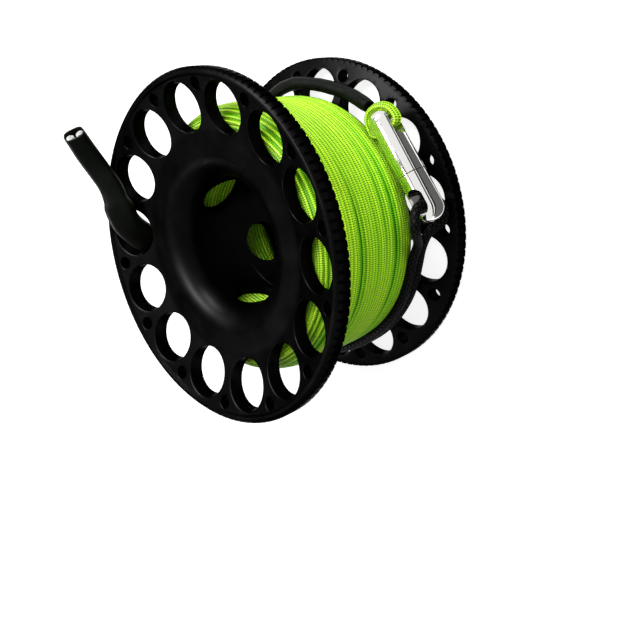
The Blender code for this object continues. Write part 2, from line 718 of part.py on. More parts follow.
def build_elastic_cord(frame, cord_material, sleeve_material):
    centre = cord_centre_line()
    sides = cord_sides(centre)
    half_pitch = (CORD_DIAMETER + CLEARANCE) / 2
    front, back = ([p + s * half_pitch * sign for p, s in zip(centre, sides)] for sign in (1, -1))
    if front[0].z < back[0].z:
        front, back = back, front
    front_bend = bend_points(frame, FRONT_BEND)
    back_bend = bend_points(frame, BACK_BEND)
    if front_bend[-1].z < back_bend[-1].z:
        raise ValueError("the front bend lies behind the back bend")
    whole = front[::-1] + front_bend[::-1] + back_bend[1:] + back
    points = smooth_points(whole, 2.0 * CORD_DIAMETER)
    print(f"elastic cord: length {path_length(points) / MM:.0f} mm, {len(points)} points")
    cord_curve("elastic_cord", points, CORD_DIAMETER, 2, cord_material)

    bore_width = 2 * CORD_DIAMETER + CLEARANCE + 2 * CORD_SLEEVE_ROOM
    bore_height = CORD_DIAMETER + 2 * CORD_SLEEVE_ROOM
    start = SPOOL_WIDTH + CORD_SLEEVE_HEIGHT
    stick = [p for p in centre if p.z > start]
    stick.append(stick[-1] + (stick[-1] - stick[-2]).normalized() * CORD_END_DEPTH)
    stick = smooth_points(stick, 1.4 * CORD_DIAMETER)
    loops = [oval(width, height, 16) for width, height in (
        (bore_width + 2 * CORD_SLEEVE_WALL, bore_height + 2 * CORD_SLEEVE_WALL), (bore_width, bore_height))]
    sleeve("cord_sleeve", stick, cord_sides(stick), *loops, sleeve_material)


# ---------------------------------------------------------------- assembly

def main():
    clear_scene()
    black_aluminium = principled("black anodised aluminium", (0.02, 0.02, 0.022), 0.6, 0.4)
    green_line = principled("fluorescent braided line", (0.42, 0.85, 0.03), 0.0, 0.6)
    black_sleeve = principled("black heat-shrink sleeve", (0.015, 0.015, 0.015), 0.0, 0.35)
    black_cord = principled("black braided elastic cord", (0.02, 0.02, 0.02), 0.0, 0.7)
    steel = principled("polished stainless steel", (0.62, 0.61, 0.6), 1.0, 0.15)

    build_spool(black_aluminium)
    build_line_core(green_line)
    turn_points = build_outer_turns(green_line)

    frame = swivel_frame()
    swivel_axis = bpy.data.objects.new("swivel_axis", None)
    swivel_axis.matrix_world = frame
    bpy.context.collection.objects.link(swivel_axis)
    build_swivel(steel, swivel_axis)
    build_end_loop(green_line, swivel_axis)
    build_line_lead(frame, turn_points, green_line, black_sleeve)
    build_elastic_cord(frame, black_cord, black_sleeve)


main()
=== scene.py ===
"""Looks of a finger spool with marker line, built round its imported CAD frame.

Each operator builds one piece or one group of like pieces: the two anodised halves, the wound line, the line
that leaves it, the swivel, the loop on the swivel, the elastic cord, its sleeve and the stage.
"""

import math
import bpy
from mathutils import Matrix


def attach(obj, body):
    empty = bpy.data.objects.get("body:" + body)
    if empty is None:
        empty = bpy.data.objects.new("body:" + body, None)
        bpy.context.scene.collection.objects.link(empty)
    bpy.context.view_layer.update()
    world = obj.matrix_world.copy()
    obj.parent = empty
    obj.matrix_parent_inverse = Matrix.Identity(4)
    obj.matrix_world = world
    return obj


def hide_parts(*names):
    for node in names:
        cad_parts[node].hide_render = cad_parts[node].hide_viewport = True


bl_info = {
    "name": "Finger Spool",
    "version": (1, 0, 0),
    "blender": (4, 5, 0),
    "location": "3D View > Sidebar > Finger Spool",
    "description": "Builds the visible pieces, finishes and stage of a finger spool with marker line",
    "category": "Object",
}

import bmesh
import bpy
import numpy as np
from bpy.props import FloatProperty, IntProperty, PointerProperty, StringProperty
from mathutils import Matrix, Vector

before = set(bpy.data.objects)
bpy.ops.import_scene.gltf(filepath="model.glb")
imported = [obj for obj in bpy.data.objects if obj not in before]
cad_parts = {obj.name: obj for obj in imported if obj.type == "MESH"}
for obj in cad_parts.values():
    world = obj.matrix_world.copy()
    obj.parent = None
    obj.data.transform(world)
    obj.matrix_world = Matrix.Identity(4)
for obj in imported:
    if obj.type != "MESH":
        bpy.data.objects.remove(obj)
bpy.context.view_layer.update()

MM = 0.001

# ---------------------------------------------------------------- shapes shared with the solids

CLEARANCE = 0.3 * MM
FLANGE_RADIUS = 40.0 * MM
SPOOL_WIDTH = 43.2 * MM
FLANGE_THICKNESS = 3.6 * MM
FLANGE_SLOPE = 0.25
EDGE_CHAMFER = 0.8 * MM
RIM_INNER_RADIUS = FLANGE_RADIUS - 1.7 * MM
WEB_RADIUS = RIM_INNER_RADIUS - 0.3 * MM
WEB_STEP = 0.6 * MM
HOLE_COUNT = 14
HOLE_PITCH = 2 * math.pi / HOLE_COUNT
HOLE_CIRCLE_RADIUS = FLANGE_RADIUS - 8.3 * MM
SMALL_HOLE_CIRCLE_RADIUS = FLANGE_RADIUS - 3.75 * MM
LIP_OUTER_RADIUS = HOLE_CIRCLE_RADIUS - 6.2 * MM
BORE_RADIUS = 15.0 * MM
HUB_RADIUS = 17.0 * MM
FLARE_RADIUS = 6.0 * MM
HUB_FILLET_RADIUS = 5.0 * MM
WINDOW_COUNT = 3
WINDOW_RADIUS = 5.2 * MM
WINDOW_DEPTH = 15.0 * MM
WINDOW_TURN = math.radians(2.15)
FRONT_TURN = math.radians(12.1)
BACK_TURN = math.radians(307.8)
HALF_WIDTH = SPOOL_WIDTH / 2

PACK_RADIUS = 31.1 * MM
PACK_DROP = 4.5 * MM
PACK_FULLNESS = 6
PACK_END_ANGLE = math.radians(138.0)
OUTER_TURNS = 15
OUTER_DIAMETER = 1.2 * MM
POINTS_PER_TURN = 24
LEAD_DIAMETER = 1.5 * MM
SLEEVE_WALL = 0.6 * MM
LOOP_WIDTH = 2.2 * MM
LOOP_THICKNESS = 1.0 * MM

SWIVEL_RADIUS = 3.35 * MM
SWIVEL_LENGTH = 28.7 * MM
SWIVEL_LINE_END_LENGTH = 17.0 * MM
SWIVEL_FOOT_ANGLE = math.radians(18.6)
SWIVEL_TOP_OFFSET = 7.7 * MM
SWIVEL_LIFT = 1.4 * MM
EYE_WIDTH = 4.0 * MM
EYE_LENGTH = 6.3 * MM
EYE_BRIDGE = 1.8 * MM
LINE_EYE_TURN = math.radians(5.0)
CORD_EYE_TURN = math.radians(90.0)
BARREL_BORE = 2.2 * MM
BARREL_BORE_LENGTH = 5.7 * MM
PIN_HOLE_RADIUS = 1.3 * MM
PIN_HOLE_DEPTH = 2.7 * MM

CORD_DIAMETER = 2.2 * MM
CORD_SLEEVE_WALL = 0.35 * MM
CORD_SLEEVE_ROOM = 0.45 * MM
CORD_END_DEPTH = 1.5 * MM

# Route of the sleeve: height over the wound line in diameters of the lead, angle in degrees, and distance
# from the back flange's outer face as a part of the spool's width
SLEEVE_ROUTE = ((0.533, 107.5, 0.1875), (1.533, 101.5, 0.1806), (2.133, 95.4, 0.1759), (2.2, 89.0, 0.1736),
                (2.067, 83.0, 0.1736), (1.667, 71.0, 0.1759), (1.667, 60.2, 0.1852), (2.0, 52.0, 0.1968))
# Direction in which the sleeve's end looks at the swivel's dome
SLEEVE_MOUTH_FACING = (0.62, -0.78, 0.02)

# The cord's bend round the bridge of the swivel's eye, from the eye outwards, in diameters of the cord:
# distance past the centre of the swivel's dome, distance to the side through the eye, and distance towards
# the wound line. The front strand bulges further than the back one.
FRONT_BEND = ((-0.36, 0.00, 0.00), (-0.36, 1.00, 0.00), (-0.23, 1.82, 0.00), (0.27, 2.45, 0.09),
              (1.00, 2.68, 0.41), (1.68, 2.36, 1.09), (2.05, 1.64, 1.91))
BACK_BEND = ((-0.36, 0.00, 0.00), (-0.36, -1.00, 0.00), (-0.18, -1.77, 0.00), (0.41, -2.32, 0.05),
             (1.09, -2.23, 0.32), (1.55, -1.91, 0.91), (1.73, -1.41, 1.68))
# Middle of the doubled cord: height over the wound line in diameters of the cord, angle in degrees and part
# of the spool's width, then angle and part of the width along the wound line
CORD_START = (1.5, -15.5, 0.2315)
CORD_ROUTE_ON_PACK = ((-25.0, 0.213), (-36.0, 0.2083), (-48.0, 0.2083), (-62.0, 0.2083), (-76.0, 0.2176),
                      (-90.0, 0.2454), (-106.0, 0.3009), (-122.0, 0.3704), (-138.0, 0.4491),
                      (-153.0, 0.5324), (-166.0, 0.625))
# The cord's way out through the front flange: the number of its hole, and its route from the hole's centre
# in diameters of the cord
CORD_HOLE = 6
STICK_ROUTE = ((-0.72, -2.94, -4.91), (-0.50, -1.76, -3.55), (-0.13, -0.76, -2.36), (0.37, 0.20, -0.91),
               (0.96, 2.11, 0.55), (1.17, 4.28, 0.88), (1.11, 6.17, 1.38), (1.03, 8.49, 2.45),
               (1.86, 11.01, 4.04))
# Directions square to both strands, with the height over the front flange at which each holds: on the wound
# line it is the radius, in the flange's hole it leans outwards, and at the free end it has turned again
HOLE_FACE = (-0.7, 0.0, -0.7)
END_FACE = (-0.71, 0.51, -0.49)
PACK_FACE_HEIGHT = -12.2 * MM
HOLE_FACE_HEIGHT = -3.2 * MM
END_FACE_HEIGHT = 5.5 * MM
# Height over the front flange at which the solid sleeve starts, and how much further down the cord the
# shrunk one reaches
CORD_SLEEVE_HEIGHT = -4.4 * MM
CORD_SLEEVE_TAIL = 4.0 * MM
# Part of the sleeve's length at which it is drawn down
CORD_SLEEVE_RIDGE = 0.41


# ---------------------------------------------------------------- what a user would change

class SpoolSizes(bpy.types.PropertyGroup):
    hole_radius: FloatProperty(
        name="Hole radius", description="Radius of each large hole in the flanges",
        default=5.8 * MM, unit="LENGTH", precision=5)
    small_hole_radius: FloatProperty(
        name="Small hole radius", description="Radius of the small holes between the large ones",
        default=1.5 * MM, unit="LENGTH", precision=5)
    edge_break: FloatProperty(
        name="Edge break", description="Radius to which the turned and drilled edges are broken",
        default=0.28 * MM, unit="LENGTH", precision=5)
    grooves_per_hole: IntProperty(
        name="Grooves per hole", description="Grip grooves on the rim for each large hole", default=9, min=1)
    groove_width: FloatProperty(
        name="Groove width", description="Width of a grip groove at the rim",
        default=0.7 * MM, unit="LENGTH", precision=5)
    groove_depth: FloatProperty(
        name="Groove depth", description="Depth of a grip groove",
        default=0.5 * MM, unit="LENGTH", precision=5)


class LineSizes(bpy.types.PropertyGroup):
    diameter: FloatProperty(
        name="Line diameter", description="Diameter of the braided line on the spool",
        default=1.0 * MM, unit="LENGTH", precision=5)
    plait_length: FloatProperty(
        name="Plait length", description="Length along the line from one crossing of its yarns to the next",
        default=0.5 * MM, unit="LENGTH", precision=5)
    parting: FloatProperty(
        name="Parting", description="Widest gap between two neighbouring turns of the outer layer",
        default=0.5 * MM, unit="LENGTH", precision=5)
    lean: FloatProperty(
        name="Lean", description="How far a turn of the outer layer strays from its even place",
        default=0.9 * MM, unit="LENGTH", precision=5)


class CordSizes(bpy.types.PropertyGroup):
    plait_length: FloatProperty(
        name="Plait length", description="Length along the elastic cord in which a yarn crosses once",
        default=1.3 * MM, unit="LENGTH", precision=5)


class FinishColours(bpy.types.PropertyGroup):
    anodising: StringProperty(
        name="Anodising", description="Colour of the black anodised aluminium", default="#090909")
    # Painted highlight: the colour of the line's raised yarns
    line_raised_highlight: StringProperty(
        name="Line, raised yarns", description="Colour of the fluorescent yarns where they stand up",
        default="#DEFF3C")
    line_body: StringProperty(
        name="Line, body", description="Colour of the fluorescent yarns", default="#96D81C")
    # Painted shade: the colour deep in the valleys between the line's yarns
    line_valley_shade: StringProperty(
        name="Line, valleys", description="Colour deep between the yarns", default="#185C04")
    shrink: StringProperty(
        name="Heat-shrink", description="Colour of the black heat-shrink tube", default="#050704")
    elastic: StringProperty(
        name="Elastic cord", description="Colour of the cord's braided cover", default="#090909")
    rubber: StringProperty(
        name="Rubber core", description="Colour of the elastic cord's cut core", default="#C9CCC8")
    steel: StringProperty(
        name="Stainless steel", description="Colour of the polished stainless steel", default="#EAE9E6")


class StageSizes(bpy.types.PropertyGroup):
    key_power: FloatProperty(
        name="Key light", description="Power of the large soft light overhead", default=4.0, unit="POWER")
    fill_power: FloatProperty(
        name="Fill light", description="Power of the soft light on the right", default=2.4, unit="POWER")
    sheen_power: FloatProperty(
        name="Sheen lights", description="Power of the lights that only the glossy surfaces show",
        default=4.0, unit="POWER")
    floor_size: FloatProperty(
        name="Floor size", description="Width of the plain floor", default=6.0, unit="LENGTH")


class FingerSpoolSettings(bpy.types.PropertyGroup):
    spool: PointerProperty(type=SpoolSizes)
    line: PointerProperty(type=LineSizes)
    cord: PointerProperty(type=CordSizes)
    colours: PointerProperty(type=FinishColours)
    stage: PointerProperty(type=StageSizes)


def settings():
    return bpy.context.scene.finger_spool


# ---------------------------------------------------------------- finishes

def linear(code):
    """Linear RGBA of an sRGB hex colour."""
    parts = [int(code[i:i + 2], 16) / 255 for i in (1, 3, 5)]
    return (*(c / 12.92 if c <= 0.04045 else ((c + 0.055) / 1.055) ** 2.4 for c in parts), 1.0)


def set_inputs(tree, node, inputs):
    """Set or link each named or numbered input. A node given as a value is linked by its first output."""
    for socket, value in inputs:
        if isinstance(value, bpy.types.Node):
            value = value.outputs[0]
        if isinstance(value, bpy.types.NodeSocket):
            tree.links.new(value, node.inputs[socket])
        else:
            node.inputs[socket].default_value = value


def add_node(tree, kind, inputs=(), stops=(), **details):
    """Add a node with its details, its inputs, and the places and hex colours of its colour stops."""
    node = tree.nodes.new(kind)
    for key, value in details.items():
        setattr(node, key, value)
    if stops:
        elements = node.color_ramp.elements
        while len(elements) < len(stops):
            elements.new(0.5)
        for element, (place, code) in zip(elements, stops):
            element.position = place
            element.color = linear(code)
    set_inputs(tree, node, inputs)
    return node


def new_finish(name):
    """A material with an empty node tree, its tree and its Principled shader."""
    material = bpy.data.materials.new(name)
    material.use_nodes = True
    tree = material.node_tree
    tree.nodes.clear()
    shader = add_node(tree, "ShaderNodeBsdfPrincipled")
    add_node(tree, "ShaderNodeOutputMaterial", [("Surface", shader)])
    return material, tree, shader


def anodised_aluminium():
    """Turned aluminium, bead-blasted and dyed black: the oxide gives a satin, slightly uneven sheen."""
    material, tree, shader = new_finish("black anodised aluminium, bead-blasted")
    place = add_node(tree, "ShaderNodeTexCoord").outputs["Object"]
    # Blotches of the dye, about 6 mm wide
    blotch = add_node(tree, "ShaderNodeTexNoise",
                      [("Vector", place), ("Scale", 1 / (6.0 * MM)), ("Detail", 3.0)])
    colour = add_node(tree, "ShaderNodeValToRGB", [("Fac", blotch)],
                      stops=((0.3, settings().colours.anodising), (0.75, "#0E0E0E")))
    roughness = add_node(tree, "ShaderNodeMapRange", [("Value", blotch), ("To Min", 0.32), ("To Max", 0.42)])
    # Blasting grit leaves dimples of about 0.1 mm; they are drawn at 0.35 mm so that they show
    grit = add_node(tree, "ShaderNodeTexNoise",
                    [("Vector", place), ("Scale", 1 / (0.35 * MM)), ("Detail", 2.0)])
    dimples = add_node(tree, "ShaderNodeBump", [("Height", grit), ("Distance", 0.006 * MM)])
    # The dyed oxide over the metal sends back little light, and not much more at a grazing angle
    set_inputs(tree, shader, [("Base Color", colour), ("Metallic", 1.0), ("Roughness", roughness),
                              ("Specular Tint", (0.38, 0.38, 0.38, 1.0)), ("Normal", dimples)])
    return material


def lay_parts(tree):
    """The attribute lay in its parts: mm along the cord, turns round it, and the shade of the place."""
    lay = add_node(tree, "ShaderNodeAttribute", attribute_name="lay")
    return add_node(tree, "ShaderNodeSeparateXYZ", [(0, lay.outputs["Vector"])]).outputs


def ridges(tree, count):
    """Height, from 0 to 1, of round ridges side by side, one for each unit of count."""
    angle = add_node(tree, "ShaderNodeMath", [(0, count), (1, math.pi)], operation="MULTIPLY")
    height = add_node(tree, "ShaderNodeMath", [(0, angle)], operation="SINE")
    return add_node(tree, "ShaderNodeMath", [(0, height)], operation="ABSOLUTE")


def braided_line():
    """Braided nylon dyed fluorescent, with painted highlight on the raised yarns and painted shade deep
    green in the valleys between them.
    """
    material, tree, shader = new_finish("fluorescent braided nylon line")
    colours = settings().colours
    plait_length = settings().line.plait_length / MM
    yarns_round = 4.0
    along, around, shade = lay_parts(tree)
    row = add_node(tree, "ShaderNodeMath", [(0, along), (1, plait_length)], operation="DIVIDE")
    column = add_node(tree, "ShaderNodeMath", [(0, around), (1, yarns_round)], operation="MULTIPLY")
    crossing = add_node(tree, "ShaderNodeMath", [(0, ridges(tree, row)), (1, ridges(tree, column))],
                        operation="ADD")
    height = add_node(tree, "ShaderNodeMath", [(0, crossing), (1, 0.5)], operation="MULTIPLY")
    # Painted shade and highlight: the colour goes from deep green in the valleys to bright on the raised
    # yarns
    yarn = add_node(tree, "ShaderNodeValToRGB", [("Fac", height)],
                    stops=((0.30, colours.line_valley_shade), (0.62, colours.line_body),
                           (0.84, colours.line_raised_highlight)))
    # Darker and greener towards shade 1: a random tint of the dye for each turn, with painted shade added on
    # the turns beside a gap and on the layer below
    dyed = add_node(tree, "ShaderNodeMix", [(0, shade), (6, yarn), (7, linear("#8CD860"))],
                    data_type="RGBA", blend_type="MULTIPLY").outputs[2]
    raised = add_node(tree, "ShaderNodeBump", [("Height", height), ("Distance", 0.04 * MM)])
    set_inputs(tree, shader, [("Base Color", dyed), ("Roughness", 0.6), ("Specular IOR Level", 0.15),
                              ("Normal", raised)])
    return material


def line_depths():
    """The same line deep between the turns, where little light reaches it: dull green without detail."""
    material, tree, shader = new_finish("fluorescent line between the turns")
    place = add_node(tree, "ShaderNodeTexCoord").outputs["Object"]
    # Blotches of the width of a yarn, 0.6 mm
    grain = add_node(tree, "ShaderNodeTexNoise",
                     [("Vector", place), ("Scale", 1 / (0.6 * MM)), ("Detail", 2.0)])
    colour = add_node(tree, "ShaderNodeValToRGB", [("Fac", grain)],
                      stops=((0.3, "#1E6A0C"), (0.7, "#3C9A14")))
    set_inputs(tree, shader, [("Base Color", colour), ("Roughness", 0.8), ("Specular IOR Level", 0.1)])
    return material


def heat_shrink():
    """Shrunk polyolefin tube: satin black with a soft ripple where it drew down over the cord."""
    material, tree, shader = new_finish("black polyolefin heat-shrink tube")
    place = add_node(tree, "ShaderNodeTexCoord").outputs["Object"]
    # Handling marks about 3 mm wide, and ripples of 1.6 mm
    mottle = add_node(tree, "ShaderNodeTexNoise",
                      [("Vector", place), ("Scale", 1 / (3.0 * MM)), ("Detail", 2.0)])
    colour = add_node(tree, "ShaderNodeValToRGB", [("Fac", mottle)],
                      stops=((0.35, settings().colours.shrink), (0.75, "#0A0E08")))
    roughness = add_node(tree, "ShaderNodeMapRange", [("Value", mottle), ("To Min", 0.36), ("To Max", 0.5)])
    ripple = add_node(tree, "ShaderNodeTexNoise",
                      [("Vector", place), ("Scale", 1 / (1.6 * MM)), ("Detail", 3.0)])
    rippled = add_node(tree, "ShaderNodeBump", [("Height", ripple), ("Distance", 0.05 * MM)])
    set_inputs(tree, shader, [("Base Color", colour), ("Roughness", roughness), ("Specular IOR Level", 0.04),
                              ("Normal", rippled)])
    return material


def braided_elastic():
    """Polyester cover braided over rubber: black yarns, each crossing painted lighter as a slight glint and
    the hollows between them painted darker as shade.
    """
    material, tree, shader = new_finish("black braided elastic cord")
    plait_length = settings().cord.plait_length / MM
    yarns_round = 6.0
    along, around, _ = lay_parts(tree)
    row = add_node(tree, "ShaderNodeMath", [(0, along), (1, plait_length)], operation="DIVIDE")
    column = add_node(tree, "ShaderNodeMath", [(0, around), (1, yarns_round)], operation="MULTIPLY")
    # The yarns run round the cord both ways, and stand up where they cross
    right, left = (ridges(tree, add_node(tree, "ShaderNodeMath", [(0, row), (1, column)], operation=way))
                   for way in ("ADD", "SUBTRACT"))
    height = add_node(tree, "ShaderNodeMath", [(0, right), (1, left)], operation="MULTIPLY")
    # Painted glint on the crossings, which are coloured lighter, and painted shade in the hollows between
    # the yarns, which are coloured darker
    colour = add_node(tree, "ShaderNodeValToRGB", [("Fac", height)],
                      stops=((0.05, "#010101"), (0.6, settings().colours.elastic), (0.95, "#1C1C1E")))
    raised = add_node(tree, "ShaderNodeBump", [("Height", height), ("Distance", 0.12 * MM)])
    set_inputs(tree, shader, [("Base Color", colour), ("Roughness", 0.55), ("Specular IOR Level", 0.05),
                              ("Normal", raised)])
    return material


def rubber_core():
    """Cut ends of the natural rubber threads inside the elastic cord: pale and torn."""
    material, tree, shader = new_finish("natural rubber threads, cut")
    place = add_node(tree, "ShaderNodeTexCoord").outputs["Object"]
    # Threads of about 0.5 mm
    thread = add_node(tree, "ShaderNodeTexNoise",
                      [("Vector", place), ("Scale", 1 / (0.5 * MM)), ("Detail", 3.0)])
    colour = add_node(tree, "ShaderNodeValToRGB", [("Fac", thread)],
                      stops=((0.35, "#6E716D"), (0.6, settings().colours.rubber)))
    torn = add_node(tree, "ShaderNodeBump", [("Height", thread), ("Distance", 0.12 * MM)])
    set_inputs(tree, shader, [("Base Color", colour), ("Roughness", 0.5), ("Normal", torn)])
    return material


def polished_steel():
    """Turned and polished stainless steel: mirror-like, with a gloss that handling left a little uneven."""
    material, tree, shader = new_finish("polished stainless steel")
    place = add_node(tree, "ShaderNodeTexCoord").outputs["Object"]
    # Smears about 2.5 mm wide
    smear = add_node(tree, "ShaderNodeTexNoise",
                     [("Vector", place), ("Scale", 1 / (2.5 * MM)), ("Detail", 2.0)])
    roughness = add_node(tree, "ShaderNodeMapRange", [("Value", smear), ("To Min", 0.09), ("To Max", 0.12)])
    set_inputs(tree, shader, [("Base Color", linear(settings().colours.steel)), ("Metallic", 1.0),
                              ("Roughness", roughness)])
    return material


FINISHES = {}


def finish(maker):
    """The one material that a maker function gives."""
    if maker not in FINISHES:
        FINISHES[maker] = maker()
    return FINISHES[maker]


# ---------------------------------------------------------------- mesh helpers

def add_object(name, data, maker=None):
    obj = bpy.data.objects.new(name, data)
    if maker:
        obj.data.materials.append(finish(maker))
    bpy.context.collection.objects.link(obj)
    return obj


def show(obj, body, slot, *nodes):
    """Let a piece ride on a body in place of CAD nodes; the slot is not used."""
    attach(obj, body)
    if nodes:
        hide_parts(*nodes)


def shade_round(mesh, angle):
    """Shade a mesh smooth, but for the edges sharper than an angle in degrees."""
    mesh.shade_smooth()
    mesh.set_sharp_from_angle(angle=math.radians(angle))
    return mesh


def mesh_of(name, bm):
    mesh = bpy.data.meshes.new(name)
    bm.to_mesh(mesh)
    bm.free()
    return mesh


def smooth_mesh(name, bm, angle=35.0):
    bmesh.ops.recalc_face_normals(bm, faces=bm.faces)
    return shade_round(mesh_of(name, bm), angle)


def polar(radius, angle, z):
    return Vector((radius * math.cos(angle), radius * math.sin(angle), z))


def wall(bm, lower, upper):
    for i in range(len(lower)):
        j = (i + 1) % len(lower)
        bm.faces.new((lower[i], lower[j], upper[j], upper[i]))


def turned_row(bm, radius, z, angles):
    return [bm.verts.new(polar(radius, angle, z)) for angle in angles]


def even_angles(count):
    return [2 * math.pi * i / count for i in range(count)]


def arc(centre_radius, centre_z, radius, start, end, steps):
    points = []
    for i in range(steps + 1):
        angle = start + (end - start) * i / steps
        points.append((centre_radius + radius * math.cos(angle), centre_z + radius * math.sin(angle)))
    return points


def revolve(bm, profile, count):
    """Turn a list of (radius, z) about Z. A radius of zero is a pole. The profile closes on itself."""
    angles = even_angles(count)
    rows = []
    for radius, z in profile:
        rows.append([bm.verts.new((0.0, 0.0, z))] if radius == 0 else turned_row(bm, radius, z, angles))
    for a, b in zip(rows, rows[1:] + rows[:1]):
        if len(a) == 1 and len(b) == 1:
            continue
        if len(a) == 1 or len(b) == 1:
            pole, loop = (a[0], b) if len(a) == 1 else (b[0], a)
            for i in range(count):
                bm.faces.new((pole, loop[i], loop[(i + 1) % count]))
        else:
            wall(bm, a, b)


def cut_mesh(name, mesh, cutter, angle):
    """The mesh less its cutter, as a plain mesh."""
    body = bpy.data.objects.new(name + "_blank", mesh)
    tool = bpy.data.objects.new(name + "_tool", cutter)
    for obj in (body, tool):
        bpy.context.collection.objects.link(obj)
    modifier = body.modifiers.new("cut", "BOOLEAN")
    modifier.operation = "DIFFERENCE"
    modifier.solver = "EXACT"
    modifier.object = tool
    bpy.context.view_layer.update()
    result = bpy.data.meshes.new_from_object(body.evaluated_get(bpy.context.evaluated_depsgraph_get()))
    for obj in (body, tool):
        bpy.data.objects.remove(obj, do_unlink=True)
    result.name = name
    return shade_round(result, angle)


# Steps of the curve between two points of a route, before it is divided evenly
SPAN_STEPS = 16


def smooth_points(route, spacing, closed=False):
    """Even points on a smooth curve through the route's own points."""
    count = len(route)
    spans = count if closed else count - 1
    dense = []
    for i in range(spans):
        p1, p2 = route[i], route[(i + 1) % count]
        p0 = route[i - 1] if closed or i > 0 else p1 * 2 - p2
        p3 = route[(i + 2) % count] if closed or i + 2 < count else p2 * 2 - p1
        for j in range(SPAN_STEPS):
            t = j / SPAN_STEPS
            dense.append(0.5 * (2 * p1 + (p2 - p0) * t + (2 * p0 - 5 * p1 + 4 * p2 - p3) * t * t
                                + (3 * p1 - p0 - 3 * p2 + p3) * t * t * t))
    dense.append(route[0].copy() if closed else route[-1].copy())
    lengths = [0.0]
    for a, b in zip(dense, dense[1:]):
        lengths.append(lengths[-1] + (b - a).length)
    steps = max(2, round(lengths[-1] / spacing))
    points, k = [], 0
    for i in range(steps + 1):
        want = lengths[-1] * i / steps
        while k < len(dense) - 2 and lengths[k + 1] < want:
            k += 1
        part = (want - lengths[k]) / (lengths[k + 1] - lengths[k])
        points.append(dense[k].lerp(dense[k + 1], part))
    return points[:-1] if closed else points


def tangents(points, closed=False):
    count = len(points)
    result = []
    for i in range(count):
        before = points[i - 1] if closed or i > 0 else points[0]
        after = points[(i + 1) % count] if closed or i + 1 < count else points[-1]
        result.append((after - before).normalized())
    return result


def carried_ups(points, closed=False):
    """Directions across a cord that turn with it and never twist."""
    along = tangents(points, closed)
    up = along[0].orthogonal().normalized()
    ups = [up]
    for t in along[1:]:
        up = (up - t * up.dot(t)).normalized()
        ups.append(up)
    return ups


# Edges of a cord sharper than this, in degrees, are its cut ends
TUBE_EDGE = 60


def tube_mesh(name, points, ups, radii, sides, closed=False, shades=None, lengths=None):
    """A round tube with the attribute lay: mm along it, turns round it, and a shade for each place."""
    place = np.array([tuple(p) for p in points])
    count = len(place)
    up = np.array([tuple(u) for u in ups])
    if closed:
        along = np.roll(place, -1, 0) - np.roll(place, 1, 0)
    else:
        along = np.gradient(place, axis=0)
    along /= np.linalg.norm(along, axis=1)[:, None]
    up -= along * np.sum(up * along, 1)[:, None]
    up /= np.linalg.norm(up, axis=1)[:, None]
    side = np.cross(along, up)
    radius = np.broadcast_to(np.asarray(radii, float), (count,))[:, None, None]
    turn = 2 * np.pi * np.arange(sides) / sides
    ring = side[:, None] * np.cos(turn)[None, :, None] + up[:, None] * np.sin(turn)[None, :, None]
    verts = (place[:, None] + ring * radius).reshape(-1, 3)

    steps = np.linalg.norm(np.diff(place, axis=0, append=place[:1] if closed else place[-1:]), axis=1)
    length = np.concatenate(([0.0], np.cumsum(steps))) / MM
    if lengths is not None:
        length[:count] = lengths
    shade = np.zeros(count) if shades is None else np.asarray(shades, float)
    last = count if closed else count - 1
    i = np.repeat(np.arange(last), sides)
    k = np.tile(np.arange(sides), last)
    after, around = (i + 1) % count, (k + 1) % sides
    faces = np.stack([i * sides + k, i * sides + around, after * sides + around, after * sides + k], 1)
    lay = np.zeros((len(faces), 4, 3))
    for corner, (step, turned) in enumerate(((0, 0), (0, 1), (1, 1), (1, 0))):
        lay[:, corner, 0] = length[i + step]
        lay[:, corner, 1] = (k + turned) / sides
        lay[:, corner, 2] = shade[(i + step) % count]
    lay = lay.reshape(-1, 3)
    faces = [tuple(int(v) for v in f) for f in faces]
    if not closed:
        faces.append(tuple(range(sides))[::-1])
        faces.append(tuple(range((count - 1) * sides, count * sides)))
        lay = np.concatenate([lay, np.zeros((2 * sides, 3))])
    mesh = bpy.data.meshes.new(name)
    mesh.from_pydata([tuple(v) for v in verts], [], faces)
    data = mesh.attributes.new("lay", "FLOAT_VECTOR", "CORNER")
    data.data.foreach_set("vector", lay.ravel())
    return shade_round(mesh, TUBE_EDGE)


def join_meshes(name, parts):
    """One mesh of several, with their attributes."""
    bm = bmesh.new()
    for part in parts:
        bm.from_mesh(part)
    return shade_round(mesh_of(name, bm), TUBE_EDGE)


# Rows of a sleeve that lean where its last mouth is cut at a slant
SLANT_ROWS = 6


def swept_sleeve(name, points, sides, outline_at, wall_thickness, slant=0.0):
    """A hollow heat-shrink tube with rolled mouths, whose last mouth may be cut at a slant.

    The outline is a function of the part of the tube's length and of the depth below its outside.
    """
    bm = bmesh.new()
    along = tangents(points)
    rows = []
    last = len(points) - 1
    for inner in (False, True):
        for i in range(last + 1):
            j = last - i if inner else i
            place, tangent, side = points[j], along[j], sides[j]
            up = side.cross(tangent).normalized()
            inset = wall_thickness if inner else 0.0
            outline = outline_at(j / last, inset)
            cut = slant * max(0.0, 1 - (last - j) / SLANT_ROWS)
            rows.append([bm.verts.new(place + side * a + up * b + tangent * (b * cut)) for a, b in outline])
    for a, b in zip(rows, rows[1:] + rows[:1]):
        wall(bm, a, b)
    return add_object(name, smooth_mesh(name, bm, 50.0), heat_shrink)


def turned_in(part, depth, width):
    """How much narrower a sleeve is at a part of its length from its mouth, as its lip turns in."""
    return depth * max(0.0, 1 - part / width)


# ---------------------------------------------------------------- spool halves

def outer_face(radius):
    return WEB_STEP + FLANGE_SLOPE * (WEB_RADIUS - radius)


def inner_face(radius):
    return FLANGE_THICKNESS + FLANGE_SLOPE * (FLANGE_RADIUS - radius)


